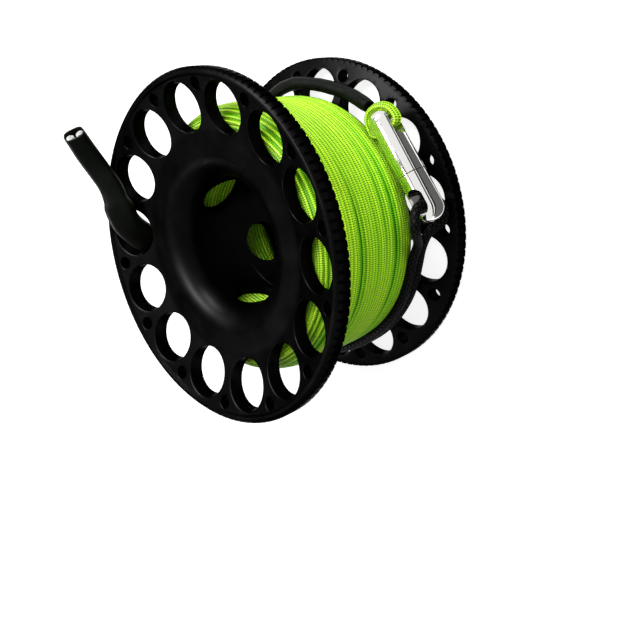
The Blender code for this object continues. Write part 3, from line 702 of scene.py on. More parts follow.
def fillet_profile(steps):
    """The round between the hub and the face on the line side."""
    slope = math.atan(FLANGE_SLOPE)
    centre = HUB_RADIUS + HUB_FILLET_RADIUS
    tangent_radius = centre - HUB_FILLET_RADIUS * math.sin(slope)
    depth = inner_face(tangent_radius) + HUB_FILLET_RADIUS * math.cos(slope)
    return arc(centre, depth, HUB_FILLET_RADIUS, math.pi, 1.5 * math.pi - slope, steps)


# The rim's first and last rows, which the grooves leave alone, each with the coarser row that it joins
LAND_ROW_RADIUS = RIM_INNER_RADIUS + 0.4 * MM
LAND_END_RADIUS = RIM_INNER_RADIUS + 0.15 * MM
LINE_SIDE_ROW_RADIUS = FLANGE_RADIUS - 0.6 * MM
LINE_SIDE_END_RADIUS = FLANGE_RADIUS - 1.0 * MM
# Columns of the grooved rim for each column of the rest
FINE_SHARE = 3
# Gap at the joint of the two halves, and how far drills reach past the faces they go through
HALVES_GAP = 0.06 * MM
DRILL_OVERRUN = 1.5 * MM
WINDOW_OVERRUN = 4.2 * MM


def groove_columns(sizes):
    """Angle and groove depth of each column of the rim, six to a groove."""
    count = HOLE_COUNT * sizes.grooves_per_hole
    pitch = 2 * math.pi / count
    half = sizes.groove_width / 2 / FLANGE_RADIUS
    shape = ((-half, 0.0), (-0.55 * half, 0.85), (0.0, 1.0), (0.55 * half, 0.85), (half, 0.0),
             (pitch / 2, 0.0))
    angles, depths = [], []
    for i in range(count):
        for shift, part in shape:
            angles.append(i * pitch + shift)
            depths.append(part * sizes.groove_depth)
    return angles, depths


def rim_rows(bm, sizes, angles, depths):
    """Rows of the grooved rim, from the land round the outer edge to the face on the line side."""
    broken = sizes.edge_break
    back = inner_face(FLANGE_RADIUS)
    # The chamfer's corners are rounded by points about 0.1 mm to either side, and the last edge by its break
    profile = [(LAND_ROW_RADIUS, 0.0), (FLANGE_RADIUS - EDGE_CHAMFER - 0.12 * MM, 0.0),
               (FLANGE_RADIUS - EDGE_CHAMFER + 0.06 * MM, 0.06 * MM),
               (FLANGE_RADIUS - EDGE_CHAMFER / 2, EDGE_CHAMFER / 2),
               (FLANGE_RADIUS - 0.08 * MM, EDGE_CHAMFER - 0.08 * MM),
               (FLANGE_RADIUS, EDGE_CHAMFER + 0.1 * MM), (FLANGE_RADIUS, back / 2 + 0.2 * MM),
               (FLANGE_RADIUS, back - broken), (FLANGE_RADIUS - 0.3 * broken, back - 0.3 * broken),
               (FLANGE_RADIUS - broken, back + 0.02 * MM),
               (LINE_SIDE_ROW_RADIUS, inner_face(LINE_SIDE_ROW_RADIUS))]
    rows = []
    for radius, z in profile:
        rows.append([bm.verts.new(polar(min(radius, FLANGE_RADIUS - depth), angle, z))
                     for angle, depth in zip(angles, depths)])
    return rows


def join_fine_row(bm, coarse, fine):
    """Faces between a row of the turned half and one of its finely divided rim."""
    for i in range(len(coarse)):
        j = (i + 1) % len(coarse)
        steps = [fine[(FINE_SHARE * i + k) % len(fine)] for k in range(FINE_SHARE + 1)]
        bm.faces.new([coarse[j], coarse[i]] + steps)


def even_rows(start, end, count):
    """Evenly spaced radii or heights after start, up to end."""
    return [start + (end - start) * i / count for i in range(1, count + 1)]


def half_blank(sizes):
    """A turned and knurled half before it is drilled."""
    bm = bmesh.new()
    angles, depths = groove_columns(sizes)
    rim = rim_rows(bm, sizes, angles, depths)
    for a, b in zip(rim, rim[1:]):
        wall(bm, a, b)

    lip_depth = outer_face(LIP_OUTER_RADIUS)
    joint = HALF_WIDTH - HALVES_GAP / 2
    # Rounded by points to either side: about 0.1 mm at the land's step and the joint, 0.7 mm at the lip
    front = [(LAND_END_RADIUS, 0.0), (RIM_INNER_RADIUS, 0.03 * MM),
             (RIM_INNER_RADIUS - 0.08 * MM, 0.14 * MM), (WEB_RADIUS + 0.1 * MM, WEB_STEP - 0.14 * MM)]
    web = [WEB_RADIUS] + even_rows(WEB_RADIUS, LIP_OUTER_RADIUS + 0.6 * MM, 12)
    front += [(radius, outer_face(radius)) for radius in web]
    front += [(LIP_OUTER_RADIUS, lip_depth - 0.03 * MM), (LIP_OUTER_RADIUS - 0.8 * MM, lip_depth)]
    flare = arc(BORE_RADIUS + FLARE_RADIUS, lip_depth + FLARE_RADIUS, FLARE_RADIUS, 1.5 * math.pi, math.pi,
                16)
    bore = [(BORE_RADIUS, z) for z in even_rows(flare[-1][1], joint - 0.12 * MM, 6)]
    fillet = fillet_profile(10)
    outside = [(BORE_RADIUS + 0.1 * MM, joint), (HUB_RADIUS, joint),
               (HUB_RADIUS, (joint + fillet[0][1]) / 2)]
    line_side = [(radius, inner_face(radius))
                 for radius in even_rows(fillet[-1][0], LINE_SIDE_END_RADIUS, 12)]
    profile = front + flare + bore + outside + fillet + line_side
    rows = [turned_row(bm, radius, z, angles[::FINE_SHARE]) for radius, z in profile]
    for a, b in zip(rows, rows[1:]):
        wall(bm, a, b)
    join_fine_row(bm, rows[0], rim[0])
    join_fine_row(bm, rows[-1], rim[-1])
    return smooth_mesh("half_blank", bm)


def drill(bm, centre, radius, broken, sides):
    """A drill through the sloped web, flared at both faces by the broken edge."""
    flare = [(radius + broken * (1 - math.cos(a)), broken * (1 - math.sin(a)))
             for a in (math.pi / 2 * i / 3 for i in range(4))]
    levels = [(radius + broken, outer_face, -DRILL_OVERRUN)]
    levels += [(reach, outer_face, depth) for reach, depth in reversed(flare)]
    levels += [(reach, inner_face, -depth) for reach, depth in flare]
    levels += [(radius + broken, inner_face, DRILL_OVERRUN)]
    rows = []
    for reach, face, shift in levels:
        row = []
        for angle in even_angles(sides):
            place = centre + Vector((reach * math.cos(angle), reach * math.sin(angle), 0.0))
            row.append(bm.verts.new((place.x, place.y, face(math.hypot(place.x, place.y)) + shift)))
        rows.append(row)
    for a, b in zip(rows, rows[1:]):
        wall(bm, a, b)
    bm.faces.new(rows[0][::-1])
    bm.faces.new(rows[-1])


def drills(sizes):
    """All drills of a half: through its flange and, for the windows, through its hub."""
    bm = bmesh.new()
    for i in range(HOLE_COUNT):
        drill(bm, polar(HOLE_CIRCLE_RADIUS, i * HOLE_PITCH, 0.0), sizes.hole_radius, sizes.edge_break, 60)
        drill(bm, polar(SMALL_HOLE_CIRCLE_RADIUS, (i + 0.5) * HOLE_PITCH, 0.0), sizes.small_hole_radius,
              sizes.edge_break * 0.6, 28)
    for i in range(WINDOW_COUNT):
        turn = Matrix.Rotation(WINDOW_TURN + 2 * math.pi * i / WINDOW_COUNT, 4, "Z")
        rows = []
        for reach in (BORE_RADIUS / 2, HUB_RADIUS + WINDOW_OVERRUN):
            rows.append([bm.verts.new(turn @ Vector((reach, WINDOW_RADIUS * math.cos(a),
                                                     WINDOW_DEPTH + WINDOW_RADIUS * math.sin(a))))
                         for a in even_angles(48)])
        wall(bm, *rows)
        bm.faces.new(rows[0][::-1])
        bm.faces.new(rows[1])
    return smooth_mesh("drills", bm)


class BuildHalves(bpy.types.Operator):
    """Turn, knurl, drill and anodise the two halves of the spool"""
    bl_idname = "finger_spool.halves"
    bl_label = "Spool halves"

    def execute(self, context):
        sizes = settings().spool
        mesh = cut_mesh("spool_half", half_blank(sizes), drills(sizes), 32.0)
        back = add_object("back_half_turned", mesh, anodised_aluminium)
        front = add_object("front_half_turned", mesh.copy())
        back.data.transform(Matrix.Rotation(BACK_TURN, 4, "Z"))
        front.data.transform(Matrix.Translation((0, 0, SPOOL_WIDTH)) @ Matrix.Rotation(FRONT_TURN, 4, "Z")
                             @ Matrix.Rotation(math.pi, 4, "X"))
        show(back, "spool", "black_aluminium", "back_half")
        show(front, "spool", "black_aluminium", "front_half")
        return {"FINISHED"}


# ---------------------------------------------------------------- wound line

# Turns of the outer layers, places on each of their turns and of those beside hub and flanges, and the sides
# of the line
WOUND_TURNS = 27
STEPS_PER_TURN = 96
SPIRAL_STEPS_PER_TURN = 60
LINE_SIDES = 8
# How far the soft turns stand over the radius of the solid ones, and once more where the pack is fullest
PACK_SWELL = 0.3 * MM
# How far below the outer layer the next one lies, in diameters
LAYER_DEPTH = 0.8
# Gaps from the hub and the flanges to the turns that lie on them
HUB_LINE_GAP = 0.15 * MM
FLANGE_LINE_GAP = 0.25 * MM
# The layer on the hub starts and ends at this height over each flange's outer face, and the turns beside
# each flange at these radii
HUB_LINE_END = 9.6 * MM
SIDE_LINE_START = 20.0 * MM
SIDE_LINE_END = 28.3 * MM
# The line behind the turns that show: its depth under the outer layer, its greatest radius, its ends at the
# outer layer and at the hub, and its shoulders beside the flanges
CORE_DEPTH = 2.2 * MM
CORE_RADIUS = 27.8 * MM
CORE_OUTER_END = 8.4 * MM
CORE_INNER_END = 9.4 * MM
CORE_SHOULDER_RADIUS = 24.0 * MM
CORE_SHOULDER_GAP = 0.9 * MM


def pack_reach(z):
    """Distance of height z from the middle of the pack, where 1 is its edge."""
    return abs(z - HALF_WIDTH) / (HALF_WIDTH - inner_face(PACK_RADIUS - PACK_DROP))


def pack_radius(z):
    """Outer radius of the wound line at height z: a barrel, fuller in the middle."""
    return PACK_RADIUS - PACK_DROP * pack_reach(z) ** PACK_FULLNESS


def turn_bumps(count, rng):
    """Where turns part: the turn, the angle and reach of the gap, and its share of the widest."""
    bumps = []
    k = rng.integers(1, 4)
    while k < count - 1:
        for _ in range(2):
            spread = math.radians(rng.uniform(22, 48))
            angle = PACK_END_ANGLE + rng.uniform(2.2 * spread, 2 * math.pi - 2.2 * spread)
            bumps.append((int(k), angle, spread, rng.uniform(0.35, 1.0)))
        k += rng.integers(2, 6)
    return bumps


def lay_turns(count, diameter, parting, lean, below, seed):
    """One layer of turns from the front flange to the back, as points, shades and angles.

    The turns lie in bundles that part and close again round the spool, and lean a little this way and that.
    """
    rng = np.random.default_rng(seed)
    edge = inner_face(PACK_RADIUS - PACK_DROP) + CLEARANCE + diameter / 2
    pitch = (SPOOL_WIDTH - 2 * edge) / count
    turn = np.arange(count * STEPS_PER_TURN + 1) / STEPS_PER_TURN
    part = turn / count
    # Angle within the turn, from the place where the line leaves the pack
    within = 2 * np.pi * (turn % 1.0)
    shift = np.zeros(len(turn))
    total = np.zeros(len(turn))
    opened = np.zeros(len(turn))
    for k, bump_angle, spread, share in turn_bumps(count, rng):
        # The line winds backwards round the axis, so angles within the turn count down
        away = within - ((PACK_END_ANGLE - bump_angle) % (2 * np.pi))
        opening = share * np.exp(-(away / spread) ** 2)
        shift += np.where(np.floor(turn) >= k, parting * opening, 0.0)
        total += parting * opening
        opened = np.maximum(opened, np.where(abs(np.floor(turn) + 0.5 - k) < 1.0, opening, 0.0))
    shift -= total * part
    angle = PACK_END_ANGLE - 2 * np.pi * (turn - count)
    # Two slow waves that differ from turn to turn, and fade out at both flanges
    sway = 0.5 * np.sin(2 * np.pi * part * 1.3 + 0.6) * np.sin(angle + 0.9)
    sway += 0.35 * np.sin(2 * np.pi * part * 2.1 + 2.0) * np.sin(2 * angle - 0.4)
    z = SPOOL_WIDTH - edge - pitch * turn - shift + lean * sway * np.sin(np.pi * part)
    z = np.clip(z, edge, SPOOL_WIDTH - edge)
    radius = PACK_RADIUS + PACK_SWELL - PACK_DROP * pack_reach(z) ** (PACK_FULLNESS + 2)
    radius -= diameter / 2 + below
    # The pack is fullest below the swivel, under the elastic cord
    low = np.exp(-((((angle + 0.9) + np.pi) % (2 * np.pi) - np.pi) / 0.9) ** 2)
    radius += PACK_SWELL * low * np.clip((HALF_WIDTH - z) / HALF_WIDTH * 2, 0.0, 1.0)
    # Each quarter turn lies a little higher or lower, and sinks where its neighbour parts from it
    quarters = np.arange(0, count + 1, 0.25)
    radius += np.interp(turn, quarters, rng.normal(0.0, 0.05 * MM, len(quarters))) - 0.12 * MM * opened
    points = [polar(r, a, h) for r, a, h in zip(radius, angle, z)]
    # A random tint of the dye for each turn, and painted shade on the turns beside a gap where a neighbour
    # parts
    tints = rng.random(count + 2) * 0.35
    shades = np.interp(turn, np.arange(count + 2), tints) + 0.6 * opened
    return points, np.clip(shades, 0.0, 1.0), angle


def braid_lengths(angle, plait_length):
    """Length along the line, in mm, by which the crossings of neighbouring turns almost line up."""
    rows = round(2 * math.pi * PACK_RADIUS / plait_length) + 0.12
    drift = 0.35 * np.sin(angle * 5.0 + 0.4) + 0.2 * np.sin(angle * 11.3)
    return (-angle / (2 * np.pi) * rows + drift) * plait_length / MM


def hub_line_radius(z, gap):
    """Radius of the layer that lies on the hub, at a gap from it, on the fillets as well."""
    fillet_start = fillet_profile(2)[0][1]
    drop = max(0.0, fillet_start - min(z, SPOOL_WIDTH - z))
    centre = HUB_RADIUS + HUB_FILLET_RADIUS
    reach = HUB_FILLET_RADIUS - gap
    return centre - math.sqrt(max(reach * reach - drop * drop, 0.0))


def radial_ups(points):
    return [Vector((p.x, p.y, 0.0)).normalized() for p in points]


def spiral(start, end, diameter, place_at):
    """Points of turns laid side by side, a little squeezed, from one height or radius to another."""
    steps = round((end - start) / diameter * 1.02) * SPIRAL_STEPS_PER_TURN
    return [place_at(start + (end - start) * i / steps, 2 * math.pi * i / SPIRAL_STEPS_PER_TURN)
            for i in range(steps + 1)]


def slow_shades(count, mean, steps):
    """Shades that come and go along a line as its dye does."""
    return [mean + 0.3 * math.sin(i / steps) for i in range(count)]


def outer_layers(sizes):
    """The turns that show on the pack, and the layer that shows between them, darker and greener with
    painted shade.
    """
    layers = []
    for below, parting, lean, seed in ((LAYER_DEPTH * sizes.diameter, 0.0, 0.0, 3),
                                       (0.0, sizes.parting, sizes.lean, 8)):
        points, shades, angle = lay_turns(WOUND_TURNS, sizes.diameter, parting, lean, below, seed)
        if below:
            # Painted shade: almost as dark and green as the shade goes, where it shows between the turns
            shades = np.full(len(points), 0.9)
        layers.append(tube_mesh("layer", points, radial_ups(points), sizes.diameter / 2, LINE_SIDES,
                                shades=shades, lengths=braid_lengths(angle, sizes.plait_length)))
    return join_meshes("line_turns", layers)


def hub_layer(sizes):
    """The turns on the hub, which show through its windows."""
    gap = HUB_LINE_GAP + sizes.diameter / 2
    points = spiral(HUB_LINE_END, SPOOL_WIDTH - HUB_LINE_END, sizes.diameter,
                    lambda z, angle: polar(hub_line_radius(z, gap), angle, z))
    return tube_mesh("line_first_layer", points, radial_ups(points), sizes.diameter / 2, LINE_SIDES,
                     shades=slow_shades(len(points), 0.35, 37))


def side_layer(name, sizes, flip):
    """The turns beside a flange, which show through its holes."""
    def place(reach, angle):
        z = inner_face(reach) + FLANGE_LINE_GAP + sizes.diameter / 2
        return polar(reach, angle, SPOOL_WIDTH - z if flip else z)

    points = spiral(SIDE_LINE_START, SIDE_LINE_END, sizes.diameter, place)
    return tube_mesh(name, points, [Vector((0, 0, 1))] * len(points), sizes.diameter / 2, LINE_SIDES,
                     shades=slow_shades(len(points), 0.3, 41))


def core_mesh(sizes):
    """The line behind all turns that show, as one dull green body."""
    depth = sizes.diameter + CORE_DEPTH
    gap = HUB_LINE_GAP + sizes.diameter / 2 * 1.6
    up = [CORE_OUTER_END] + even_rows(CORE_OUTER_END, SPOOL_WIDTH - CORE_OUTER_END, 14)
    outside = [(min(pack_radius(z) - depth, CORE_RADIUS), z) for z in up]
    down = [SPOOL_WIDTH - CORE_INNER_END] + even_rows(SPOOL_WIDTH - CORE_INNER_END, CORE_INNER_END, 14)
    inner = [(hub_line_radius(z, gap), z) for z in down]
    shoulder = inner_face(CORE_SHOULDER_RADIUS) + CORE_SHOULDER_GAP
    bm = bmesh.new()
    revolve(bm, outside + [(CORE_SHOULDER_RADIUS, SPOOL_WIDTH - shoulder)] + inner
            + [(CORE_SHOULDER_RADIUS, shoulder)], 96)
    return smooth_mesh("line_pack", bm)


class BuildWoundLine(bpy.types.Operator):
    """Wind the braided line: its first layer on the hub, its turns at the flanges and the outer layers"""
    bl_idname = "finger_spool.wound_line"
    bl_label = "Wound line"

    def execute(self, context):
        sizes = settings().line
        show(add_object("line_turns", outer_layers(sizes), braided_line), "spool", "green_line",
             "line_outer_turns")
        show(add_object("line_first_layer", hub_layer(sizes), braided_line), "spool", "green_line")
        for name, flip in (("line_turns_back", False), ("line_turns_front", True)):
            show(add_object(name, side_layer(name, sizes, flip), braided_line), "spool", "green_line")
        show(add_object("line_pack", core_mesh(sizes), line_depths), "spool", "green_line", "line_core")
        return {"FINISHED"}


# ---------------------------------------------------------------- line's end

LOOP_REACH = math.hypot(SWIVEL_RADIUS + CLEARANCE + LOOP_THICKNESS, LOOP_WIDTH / 2)
SWIVEL_REST = (LOOP_REACH + 2 * CLEARANCE) / math.cos(math.atan(FLANGE_SLOPE))
SWIVEL_HEIGHT = inner_face(PACK_RADIUS + SWIVEL_RADIUS) + SWIVEL_REST
LINE_TIP = SWIVEL_RADIUS
SEAM = LINE_TIP - SWIVEL_LINE_END_LENGTH
CORD_DOME = SWIVEL_RADIUS - (SWIVEL_LENGTH - SWIVEL_RADIUS)
CORD_TIP = CORD_DOME - SWIVEL_RADIUS


def swivel_frame():
    """Matrix of the swivel: origin at the centre of the line end's dome, Z out through that end."""
    foot = polar(1.0, SWIVEL_FOOT_ANGLE, 0)
    along = Vector((-foot.y, foot.x, 0.0))
    out = pack_radius(SWIVEL_HEIGHT) + SWIVEL_LIFT + SWIVEL_RADIUS
    centre = foot * out + along * SWIVEL_TOP_OFFSET + Vector((0, 0, SWIVEL_HEIGHT))
    matrix = Matrix((-foot, Vector((0, 0, 1)), along)).transposed().to_4x4()
    matrix.translation = centre
    return matrix


def turns_end():
    """Last two places of the outer turns, where the lead leaves them."""
    margin = inner_face(PACK_RADIUS - PACK_DROP) + CLEARANCE + OUTER_DIAMETER / 2
    steps = OUTER_TURNS * POINTS_PER_TURN
    places = []
    for i in (steps - 1, steps):
        z = SPOOL_WIDTH - margin + (2 * margin - SPOOL_WIDTH) * i / steps
        angle = PACK_END_ANGLE - 2 * math.pi * (i - steps) / POINTS_PER_TURN
        places.append(polar(pack_radius(z) - OUTER_DIAMETER / 2, angle, z))
    return places


def lead_points():
    before, end = turns_end()
    leaving = (end - before).normalized()
    start = end + leaving * (OUTER_DIAMETER + CLEARANCE)
    route = [start, start + leaving * LEAD_DIAMETER]
    for over, angle, part in SLEEVE_ROUTE:
        radius = PACK_RADIUS + over * LEAD_DIAMETER
        route.append(polar(radius, math.radians(angle), part * SPOOL_WIDTH))
    top = swivel_frame().translation
    route.append(top - Vector(SLEEVE_MOUTH_FACING).normalized() * (LOOP_REACH + 2 * CLEARANCE))
    return smooth_points(route, 0.8 * MM)


def outward_side(place, tangent):
    radial = Vector((place.x, place.y, 0.0)).normalized()
    return tangent.cross(radial).normalized()


# The lead's start under the outer turns: steps back along them, and how much further in it lies
LEAD_TAIL = ((2.2, 0.8 * MM), (1.2, 0.4 * MM), (0.4, 0.1 * MM))
# The two legs of the doubled line: their diameter, the distance of each from the middle, and the length in
# which they wind once round each other
LEG_DIAMETER = LEAD_DIAMETER * 0.52
LEG_OFFSET = LEG_DIAMETER * 0.42
LEG_TWIST = 14.0 * MM
LEG_SPACING = 0.5 * MM


def lead_legs(middle):
    """The two legs of the doubled line round its middle, as one mesh."""
    ups = carried_ups(middle)
    along = tangents(middle)
    legs = []
    for sign, shade in ((1, 0.5), (-1, 0.2)):
        leg = []
        for i, (p, u, t) in enumerate(zip(middle, ups, along)):
            turn = 2 * math.pi * i * LEG_SPACING / LEG_TWIST
            leg.append(p + (u * math.cos(turn) + t.cross(u) * math.sin(turn)) * (sign * LEG_OFFSET))
        legs.append(tube_mesh("leg", leg, carried_ups(leg), LEG_DIAMETER / 2, LINE_SIDES,
                              shades=[shade] * len(leg)))
    return join_meshes("line_lead_strands", legs)


class BuildLead(bpy.types.Operator):
    """Lead the line from the wound turns to the swivel through its heat-shrink sleeve"""
    bl_idname = "finger_spool.lead"
    bl_label = "Line lead and sleeve"

    def execute(self, context):
        points = lead_points()
        before, end = turns_end()
        tail = []
        for steps, depth in LEAD_TAIL:
            p = end.lerp(before, steps)
            tail.append(polar(math.hypot(p.x, p.y) - depth, math.atan2(p.y, p.x), p.z))
        lead = lead_legs(smooth_points(tail + points[::4], LEG_SPACING))
        show(add_object("line_lead_strands", lead, braided_line), "spool", "green_line", "line_lead")

        first_angle = math.radians(SLEEVE_ROUTE[0][1])
        covered = [p for p in points if math.atan2(p.y, p.x) <= first_angle]
        sides = [outward_side(p, t) for p, t in zip(covered, tangents(covered))]
        outside = LEAD_DIAMETER / 2 + CLEARANCE + SLEEVE_WALL

        def outline(part, inset):
            swell = 1 + 0.02 * math.sin(part * 23.0) + 0.015 * math.sin(part * 61.0 + 1.0)
            lip = 1 - turned_in(part, 0.06, 0.03) - turned_in(1 - part, 0.06, 0.03)
            radius = (outside - inset) * swell * lip
            return [(radius * math.cos(a), radius * math.sin(a)) for a in even_angles(28)]

        tube = swept_sleeve("line_sleeve_shrunk", covered, sides, outline, SLEEVE_WALL)
        show(tube, "spool", "black_sleeve", "line_sleeve")
        return {"FINISHED"}


# The two strands of the loop: offset from the swivel's axis and shade, gap to the dome, and how far each
# leans over the dome's top
LOOP_STRANDS = ((-0.1 * MM, 0.15), (1.08 * MM, 0.0))
LOOP_GAP = 0.08 * MM
LOOP_LEAN = 0.95 * MM


class BuildEndLoop(bpy.types.Operator):
    """Pass the doubled line round the swivel's dome and through its eye"""
    bl_idname = "finger_spool.end_loop"
    bl_label = "Loop on the swivel"

    def execute(self, context):
        matrix = swivel_frame() @ Matrix.Rotation(LINE_EYE_TURN, 4, "Z")
        bend = LOOP_THICKNESS * 1.3
        radius = LOOP_WIDTH * 0.27
        inside = LINE_TIP - EYE_BRIDGE - EYE_LENGTH / 2 - LOOP_THICKNESS / 2
        strands = []
        # Two strands side by side; each hugs the dome, so the outer one lies on a smaller circle
        for offset, shade in LOOP_STRANDS:
            clear = SWIVEL_RADIUS + LOOP_GAP + radius
            run = math.sqrt(clear ** 2 - offset ** 2)
            route = []
            for i in range(13):
                angle = math.pi * i / 12
                lean = offset + LOOP_LEAN * math.sin(angle) ** 2
                reach = math.sqrt(clear ** 2 - lean ** 2)
                route.append(Vector((reach * math.cos(angle), lean, reach * math.sin(angle))))
            corner = [(-run + bend * (1 - math.cos(a)), inside + bend * (1 - math.sin(a)))
                      for a in (math.pi / 2 * i / 4 for i in range(5))]
            under = [(-run, (inside + bend) / 2)] + corner
            under += [(-across, up) for across, up in reversed(under)]
            route += [Vector((across, offset, up)) for across, up in under]
            points = [matrix @ p for p in smooth_points(route, 0.35 * MM, closed=True)]
            strands.append(tube_mesh("loop_strand", points, carried_ups(points, True), radius, 12,
                                     closed=True, shades=[shade] * len(points)))
        loop = add_object("line_loop_strands", join_meshes("line_loop_strands", strands), braided_line)
        show(loop, "line_end", "green_line", "line_end_loop")
        return {"FINISHED"}


# ---------------------------------------------------------------- swivel

# Gap at the seam of the two ends, the width to which the seam's edges are broken, and the rows of the sides
SEAM_GAP = 0.12 * MM
SEAM_BREAK = 0.08 * MM
BARREL_STEP = 0.5 * MM


def eye_cutter(name, near_tip, far, turn):
    """A slot through the barrel with round ends."""
    straight = (EYE_LENGTH - EYE_WIDTH) / 2
    middle = (near_tip + far) / 2
    bm = bmesh.new()
    loops = []
    for x in (-2 * SWIVEL_RADIUS, 2 * SWIVEL_RADIUS):
        loop = []
        for i in range(48):
            angle = 2 * math.pi * (i + 0.5) / 48
            shift = math.copysign(straight, math.sin(angle))
            loop.append(bm.verts.new((x, EYE_WIDTH / 2 * math.cos(angle),
                                      middle + shift + EYE_WIDTH / 2 * math.sin(angle))))
        loops.append(loop)
    wall(bm, *loops)
    bm.faces.new(loops[0][::-1])
    bm.faces.new(loops[1])
    bmesh.ops.rotate(bm, verts=bm.verts, matrix=Matrix.Rotation(turn, 3, "Z"))
    return smooth_mesh(name, bm)


def barrel_side(start, end):
    """The straight side of a barrel in short steps, which keeps its shading even round the eye."""
    steps = round(abs(end - start) / BARREL_STEP)
    return [(SWIVEL_RADIUS, start + (end - start) * i / steps) for i in range(1, steps + 1)]


def barrel(name, profile, cutter):
    bm = bmesh.new()
    revolve(bm, profile, 72)
    blank = smooth_mesh(name + "_blank", bm)
    return cut_mesh(name, blank, cutter, 35.0)


class BuildSwivel(bpy.types.Operator):
    """Turn and polish the barrel swivel's two ends and its inner pieces"""
    bl_idname = "finger_spool.swivel"
    bl_label = "Barrel swivel"

    def execute(self, context):
        dome = arc(0.0, 0.0, SWIVEL_RADIUS, 0.0, math.pi / 2, 14)[:-1]
        bore_top = SEAM + BARREL_BORE_LENGTH
        profile = [(0.0, LINE_TIP)] + dome[::-1] + barrel_side(0.0, SEAM + SEAM_BREAK)
        profile += [(SWIVEL_RADIUS - SEAM_BREAK, SEAM), (BARREL_BORE, SEAM), (BARREL_BORE, bore_top),
                    (0.0, bore_top)]
        eye_top = LINE_TIP - EYE_BRIDGE
        cutter = eye_cutter("line_eye", eye_top, eye_top - EYE_LENGTH, LINE_EYE_TURN)
        line_mesh = barrel("swivel_line_barrel", profile, cutter)

        cord_seam = SEAM - SEAM_GAP
        profile = [(0.0, CORD_TIP)] + [(radius, CORD_DOME - z) for radius, z in reversed(dome)]
        profile += barrel_side(CORD_DOME, cord_seam - SEAM_BREAK)
        profile += [(SWIVEL_RADIUS - SEAM_BREAK, cord_seam), (PIN_HOLE_RADIUS, cord_seam),
                    (PIN_HOLE_RADIUS, cord_seam - PIN_HOLE_DEPTH), (0.0, cord_seam - PIN_HOLE_DEPTH)]
        eye_low = CORD_TIP + EYE_BRIDGE
        cutter = eye_cutter("cord_eye", eye_low + EYE_LENGTH, eye_low, CORD_EYE_TURN)
        cord_mesh = barrel("swivel_cord_barrel", profile, cutter)
        matrix = swivel_frame()
        for name, mesh, body, node in (("swivel_line_barrel", line_mesh, "line_end", "swivel_line_end"),
                                       ("swivel_cord_barrel", cord_mesh, "spool", "swivel_cord_end")):
            mesh.transform(matrix)
            show(add_object(name, mesh, polished_steel), body, "steel", node)
        for node in ("swivel_pin", "swivel_washer", "swivel_collar"):
            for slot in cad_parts[node].material_slots:
                slot.material = finish(polished_steel)
        return {"FINISHED"}


# ---------------------------------------------------------------- elastic cord

def cord_centre_line():
    """Middle of the two strands, from the swivel to their free ends."""
    rest = 2 * CLEARANCE + CORD_DIAMETER / 2
    over, angle, part = CORD_START
    route = [polar(PACK_RADIUS + over * CORD_DIAMETER, math.radians(angle), part * SPOOL_WIDTH)]
    for angle, part in CORD_ROUTE_ON_PACK:
        z = part * SPOOL_WIDTH
        fuller = z + math.copysign(CORD_DIAMETER, HALF_WIDTH - z)
        route.append(polar(pack_radius(fuller) + rest, math.radians(angle), z))
    hole = polar(HOLE_CIRCLE_RADIUS, FRONT_TURN + CORD_HOLE * HOLE_PITCH, SPOOL_WIDTH)
    route += [hole + Vector(p) * CORD_DIAMETER for p in STICK_ROUTE]
    return smooth_points(route, 2.2 * CORD_DIAMETER)


def cord_face(place):
    """Direction square to both strands at a place on the cord's route."""
    height = place.z - SPOOL_WIDTH
    radial = Vector((place.x, place.y, 0.0)).normalized()
    if height < HOLE_FACE_HEIGHT:
        part = max(0.0, (height - PACK_FACE_HEIGHT) / (HOLE_FACE_HEIGHT - PACK_FACE_HEIGHT))
        return radial.lerp(Vector(HOLE_FACE), part)
    part = min(1.0, (height - HOLE_FACE_HEIGHT) / (END_FACE_HEIGHT - HOLE_FACE_HEIGHT))
    return Vector(HOLE_FACE).lerp(Vector(END_FACE), part)


def cord_sides(points):
    """Direction from one strand to the other."""
    return [t.cross(cord_face(p)).normalized() for p, t in zip(points, tangents(points))]


def bend_points(matrix, route):
    """Places of a strand's bend, in the swivel's frame turned to its eye."""
    turned = matrix @ Matrix.Rotation(CORD_EYE_TURN, 4, "Z")
    inward = -Vector((matrix.translation.x, matrix.translation.y, 0.0))
    across = matrix.to_3x3().col[2].cross(Vector((0, 0, 1))).normalized()
    across = across if across.dot(inward) > 0 else -across
    size = CORD_DIAMETER
    return [turned @ Vector((side * size, 0.0, CORD_DOME - out * size)) + across * (inwards * size)
            for out, side, inwards in route]


def cord_points():
    """The whole cord, from one free end through the swivel's eye to the other."""
    centre = cord_centre_line()
    sides = cord_sides(centre)
    half_pitch = (CORD_DIAMETER + CLEARANCE) / 2
    front, back = ([p + s * half_pitch * sign for p, s in zip(centre, sides)] for sign in (1, -1))
    if front[0].z < back[0].z:
        front, back = back, front
    matrix = swivel_frame()
    whole = front[::-1] + bend_points(matrix, FRONT_BEND)[::-1] + bend_points(matrix, BACK_BEND)[1:] + back
    return smooth_points(whole, 2.0 * CORD_DIAMETER)


def stick_points():
    """Middle of the shrunk sleeve over the cord's two ends."""
    centre = cord_centre_line()
    stick = [p for p in centre if p.z > SPOOL_WIDTH + CORD_SLEEVE_HEIGHT - CORD_SLEEVE_TAIL]
    stick.append(stick[-1] + (stick[-1] - stick[-2]).normalized() * CORD_END_DEPTH)
    return smooth_points(stick, 0.6 * MM)


# The bare rubber at each free end: distance past the cover's last place, and radius there
RUBBER_TIP = ((-0.4 * MM, 1.05 * MM), (0.3 * MM, 1.08 * MM), (1.0 * MM, 1.0 * MM), (1.35 * MM, 0.6 * MM))


